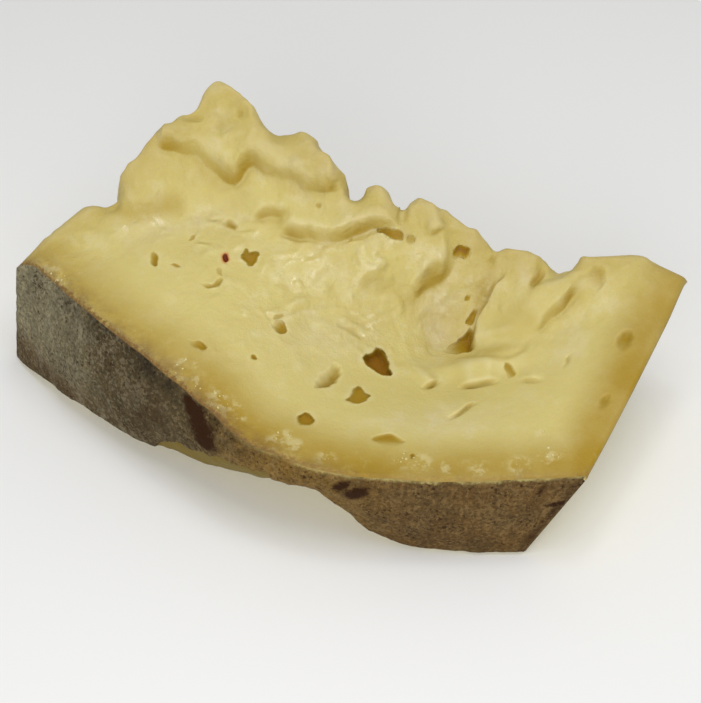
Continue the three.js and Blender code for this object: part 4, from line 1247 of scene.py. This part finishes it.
def placed_object(name, data):
    made = bpy.data.objects.new(name, data)
    bpy.context.scene.collection.objects.link(made)
    return made


def keep_piece(piece):
    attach(piece, BODY)
    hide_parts(NODE)


def solid_place():
    """Where the design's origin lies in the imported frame, in metres."""
    low, high = NODE_BOX
    x, y = DESIGN_MIDDLE
    return Vector(((low.x + high.x) / 2 - x * MM, (low.y + high.y) / 2 - y * MM, low.z))


class GRUYERE_OT_chunk(bpy.types.Operator):
    """Makes the torn chunk with its rind and eyes"""

    bl_idname = "gruyere.chunk"
    bl_label = "Make chunk"

    def execute(self, context):
        shape, finish = context.scene.gruyere_shape, context.scene.gruyere_finish
        points, faces, attributes = chunk_arrays()
        mesh = bpy.data.meshes.new("chunk_base")
        mesh.from_pydata(points.tolist(), [], faces)
        for name, values in attributes.items():
            write_attribute(mesh, name, values)
        refine(mesh)
        raise_relief(mesh)
        carve_eyes(mesh)
        mesh.vertices.foreach_set("co", (read_points(mesh) * MM + np.array(solid_place())).ravel())
        mesh.update()
        mottle = mottle_group()
        chunk = baked(mesh, relief_tree(), {
            **tree_inputs(shape), "Paste": paste_material(finish, mottle, wrinkle_group(), hole_group(shape)),
            "Rind": rind_material(finish, mottle, speckle_group())}, "chunk")
        write_cavities(chunk.data)
        keep_piece(chunk)
        return {"FINISHED"}


class GRUYERE_OT_crumbs(bpy.types.Operator):
    """Scatters crumbs along the rind's upper edge"""

    bl_idname = "gruyere.crumbs"
    bl_label = "Scatter crumbs"

    def execute(self, context):
        mesh = bpy.data.objects["chunk"].data.copy()
        scuffed = smooth(0.35, 1, read_attribute(mesh, "scuff")) * read_attribute(mesh, "upper")
        write_attribute(mesh, "crumb", scuffed)
        material = crumb_material(context.scene.gruyere_finish, bpy.data.node_groups["Mottle"])
        crumbs = baked(mesh, crumb_tree(), {
            **tree_inputs(context.scene.gruyere_crumbs), "Material": material}, "crumbs")
        keep_piece(crumbs)
        return {"FINISHED"}


class GRUYERE_OT_stage(bpy.types.Operator):
    """Makes the floor, the lights and the camera"""

    bl_idname = "gruyere.stage"
    bl_label = "Set the stage"

    def execute(self, context):
        setup = context.scene.gruyere_stage
        self.make_floor(setup)
        for name, (place, size) in LIGHTS.items():
            self.make_light(name, place, size, getattr(setup, name + "_power"))
        world = bpy.data.worlds.new("studio")
        world.use_nodes = True
        fill(world.node_tree.nodes["Background"], {"Strength": setup.sky, "Color": (1, 1, 1)})
        context.scene.world = world
        context.scene.view_settings.view_transform = "Standard"
        self.make_camera(context.scene, setup)
        return {"FINISHED"}

    def make_floor(self, setup):
        mesh = bpy.data.meshes.new("floor")
        reach = FLOOR_REACH
        corners = ((-reach, -reach), (reach, -reach), (reach, reach), (-reach, reach))
        mesh.from_pydata([(x, y, FLOOR_HEIGHT) for x, y in corners], [], [(0, 1, 2, 3)])
        material, _, shader, _ = new_material("pale_floor")
        fill(shader, {"Base Color": setup.floor, "Roughness": 0.8})
        mesh.materials.append(material)
        placed_object("floor", mesh)

    def make_light(self, name, place, size, power):
        light = bpy.data.lights.new(name, "AREA")
        light.size = size
        light.energy = power
        lamp = placed_object(name, light)
        lamp.location = place
        lamp.rotation_euler = (-Vector(place)).to_track_quat("-Z", "Y").to_euler()

    def make_camera(self, scene, setup):
        aim = solid_place() + Vector((0, 0, AIM_HEIGHT * MM))
        back = Vector((0, -math.cos(setup.elevation), math.sin(setup.elevation)))
        data = bpy.data.cameras.new("camera")
        data.lens = data.sensor_width * setup.distance / (PIXEL * MM * IMAGE_PIXELS)
        camera = placed_object("camera", data)
        camera.location = aim + back * setup.distance
        camera.rotation_euler = (-back).to_track_quat("-Z", "Y").to_euler()
        scene.camera = camera


class GRUYERE_PT_panel(bpy.types.Panel):
    """Lists the chunk's operators and sizes"""

    bl_idname = "GRUYERE_PT_panel"
    bl_label = "Gruyere chunk"
    bl_space_type = "VIEW_3D"
    bl_region_type = "UI"
    bl_category = "Gruyere"

    def draw(self, context):
        for operator in OPERATORS:
            self.layout.operator(operator.bl_idname)
        for name, group in SETTINGS.items():
            for key in group.__annotations__:
                self.layout.prop(getattr(context.scene, name), key)


OPERATORS = (GRUYERE_OT_stage, GRUYERE_OT_chunk, GRUYERE_OT_crumbs)
SETTINGS = {"gruyere_shape": ChunkShape, "gruyere_crumbs": CrumbShape,
            "gruyere_finish": ChunkFinish, "gruyere_stage": StageSetup}


def register():
    for group in SETTINGS.values():
        bpy.utils.register_class(group)
    for name, group in SETTINGS.items():
        setattr(bpy.types.Scene, name, bpy.props.PointerProperty(type=group))
    for kind in (*OPERATORS, GRUYERE_PT_panel):
        bpy.utils.register_class(kind)


def unregister():
    for kind in (GRUYERE_PT_panel, *OPERATORS):
        bpy.utils.unregister_class(kind)
    for name, group in SETTINGS.items():
        delattr(bpy.types.Scene, name)
        bpy.utils.unregister_class(group)


def main():
    register()
    bpy.ops.gruyere.stage()
    bpy.ops.gruyere.chunk()
    bpy.ops.gruyere.crumbs()


if __name__ == "__main__":
    main()
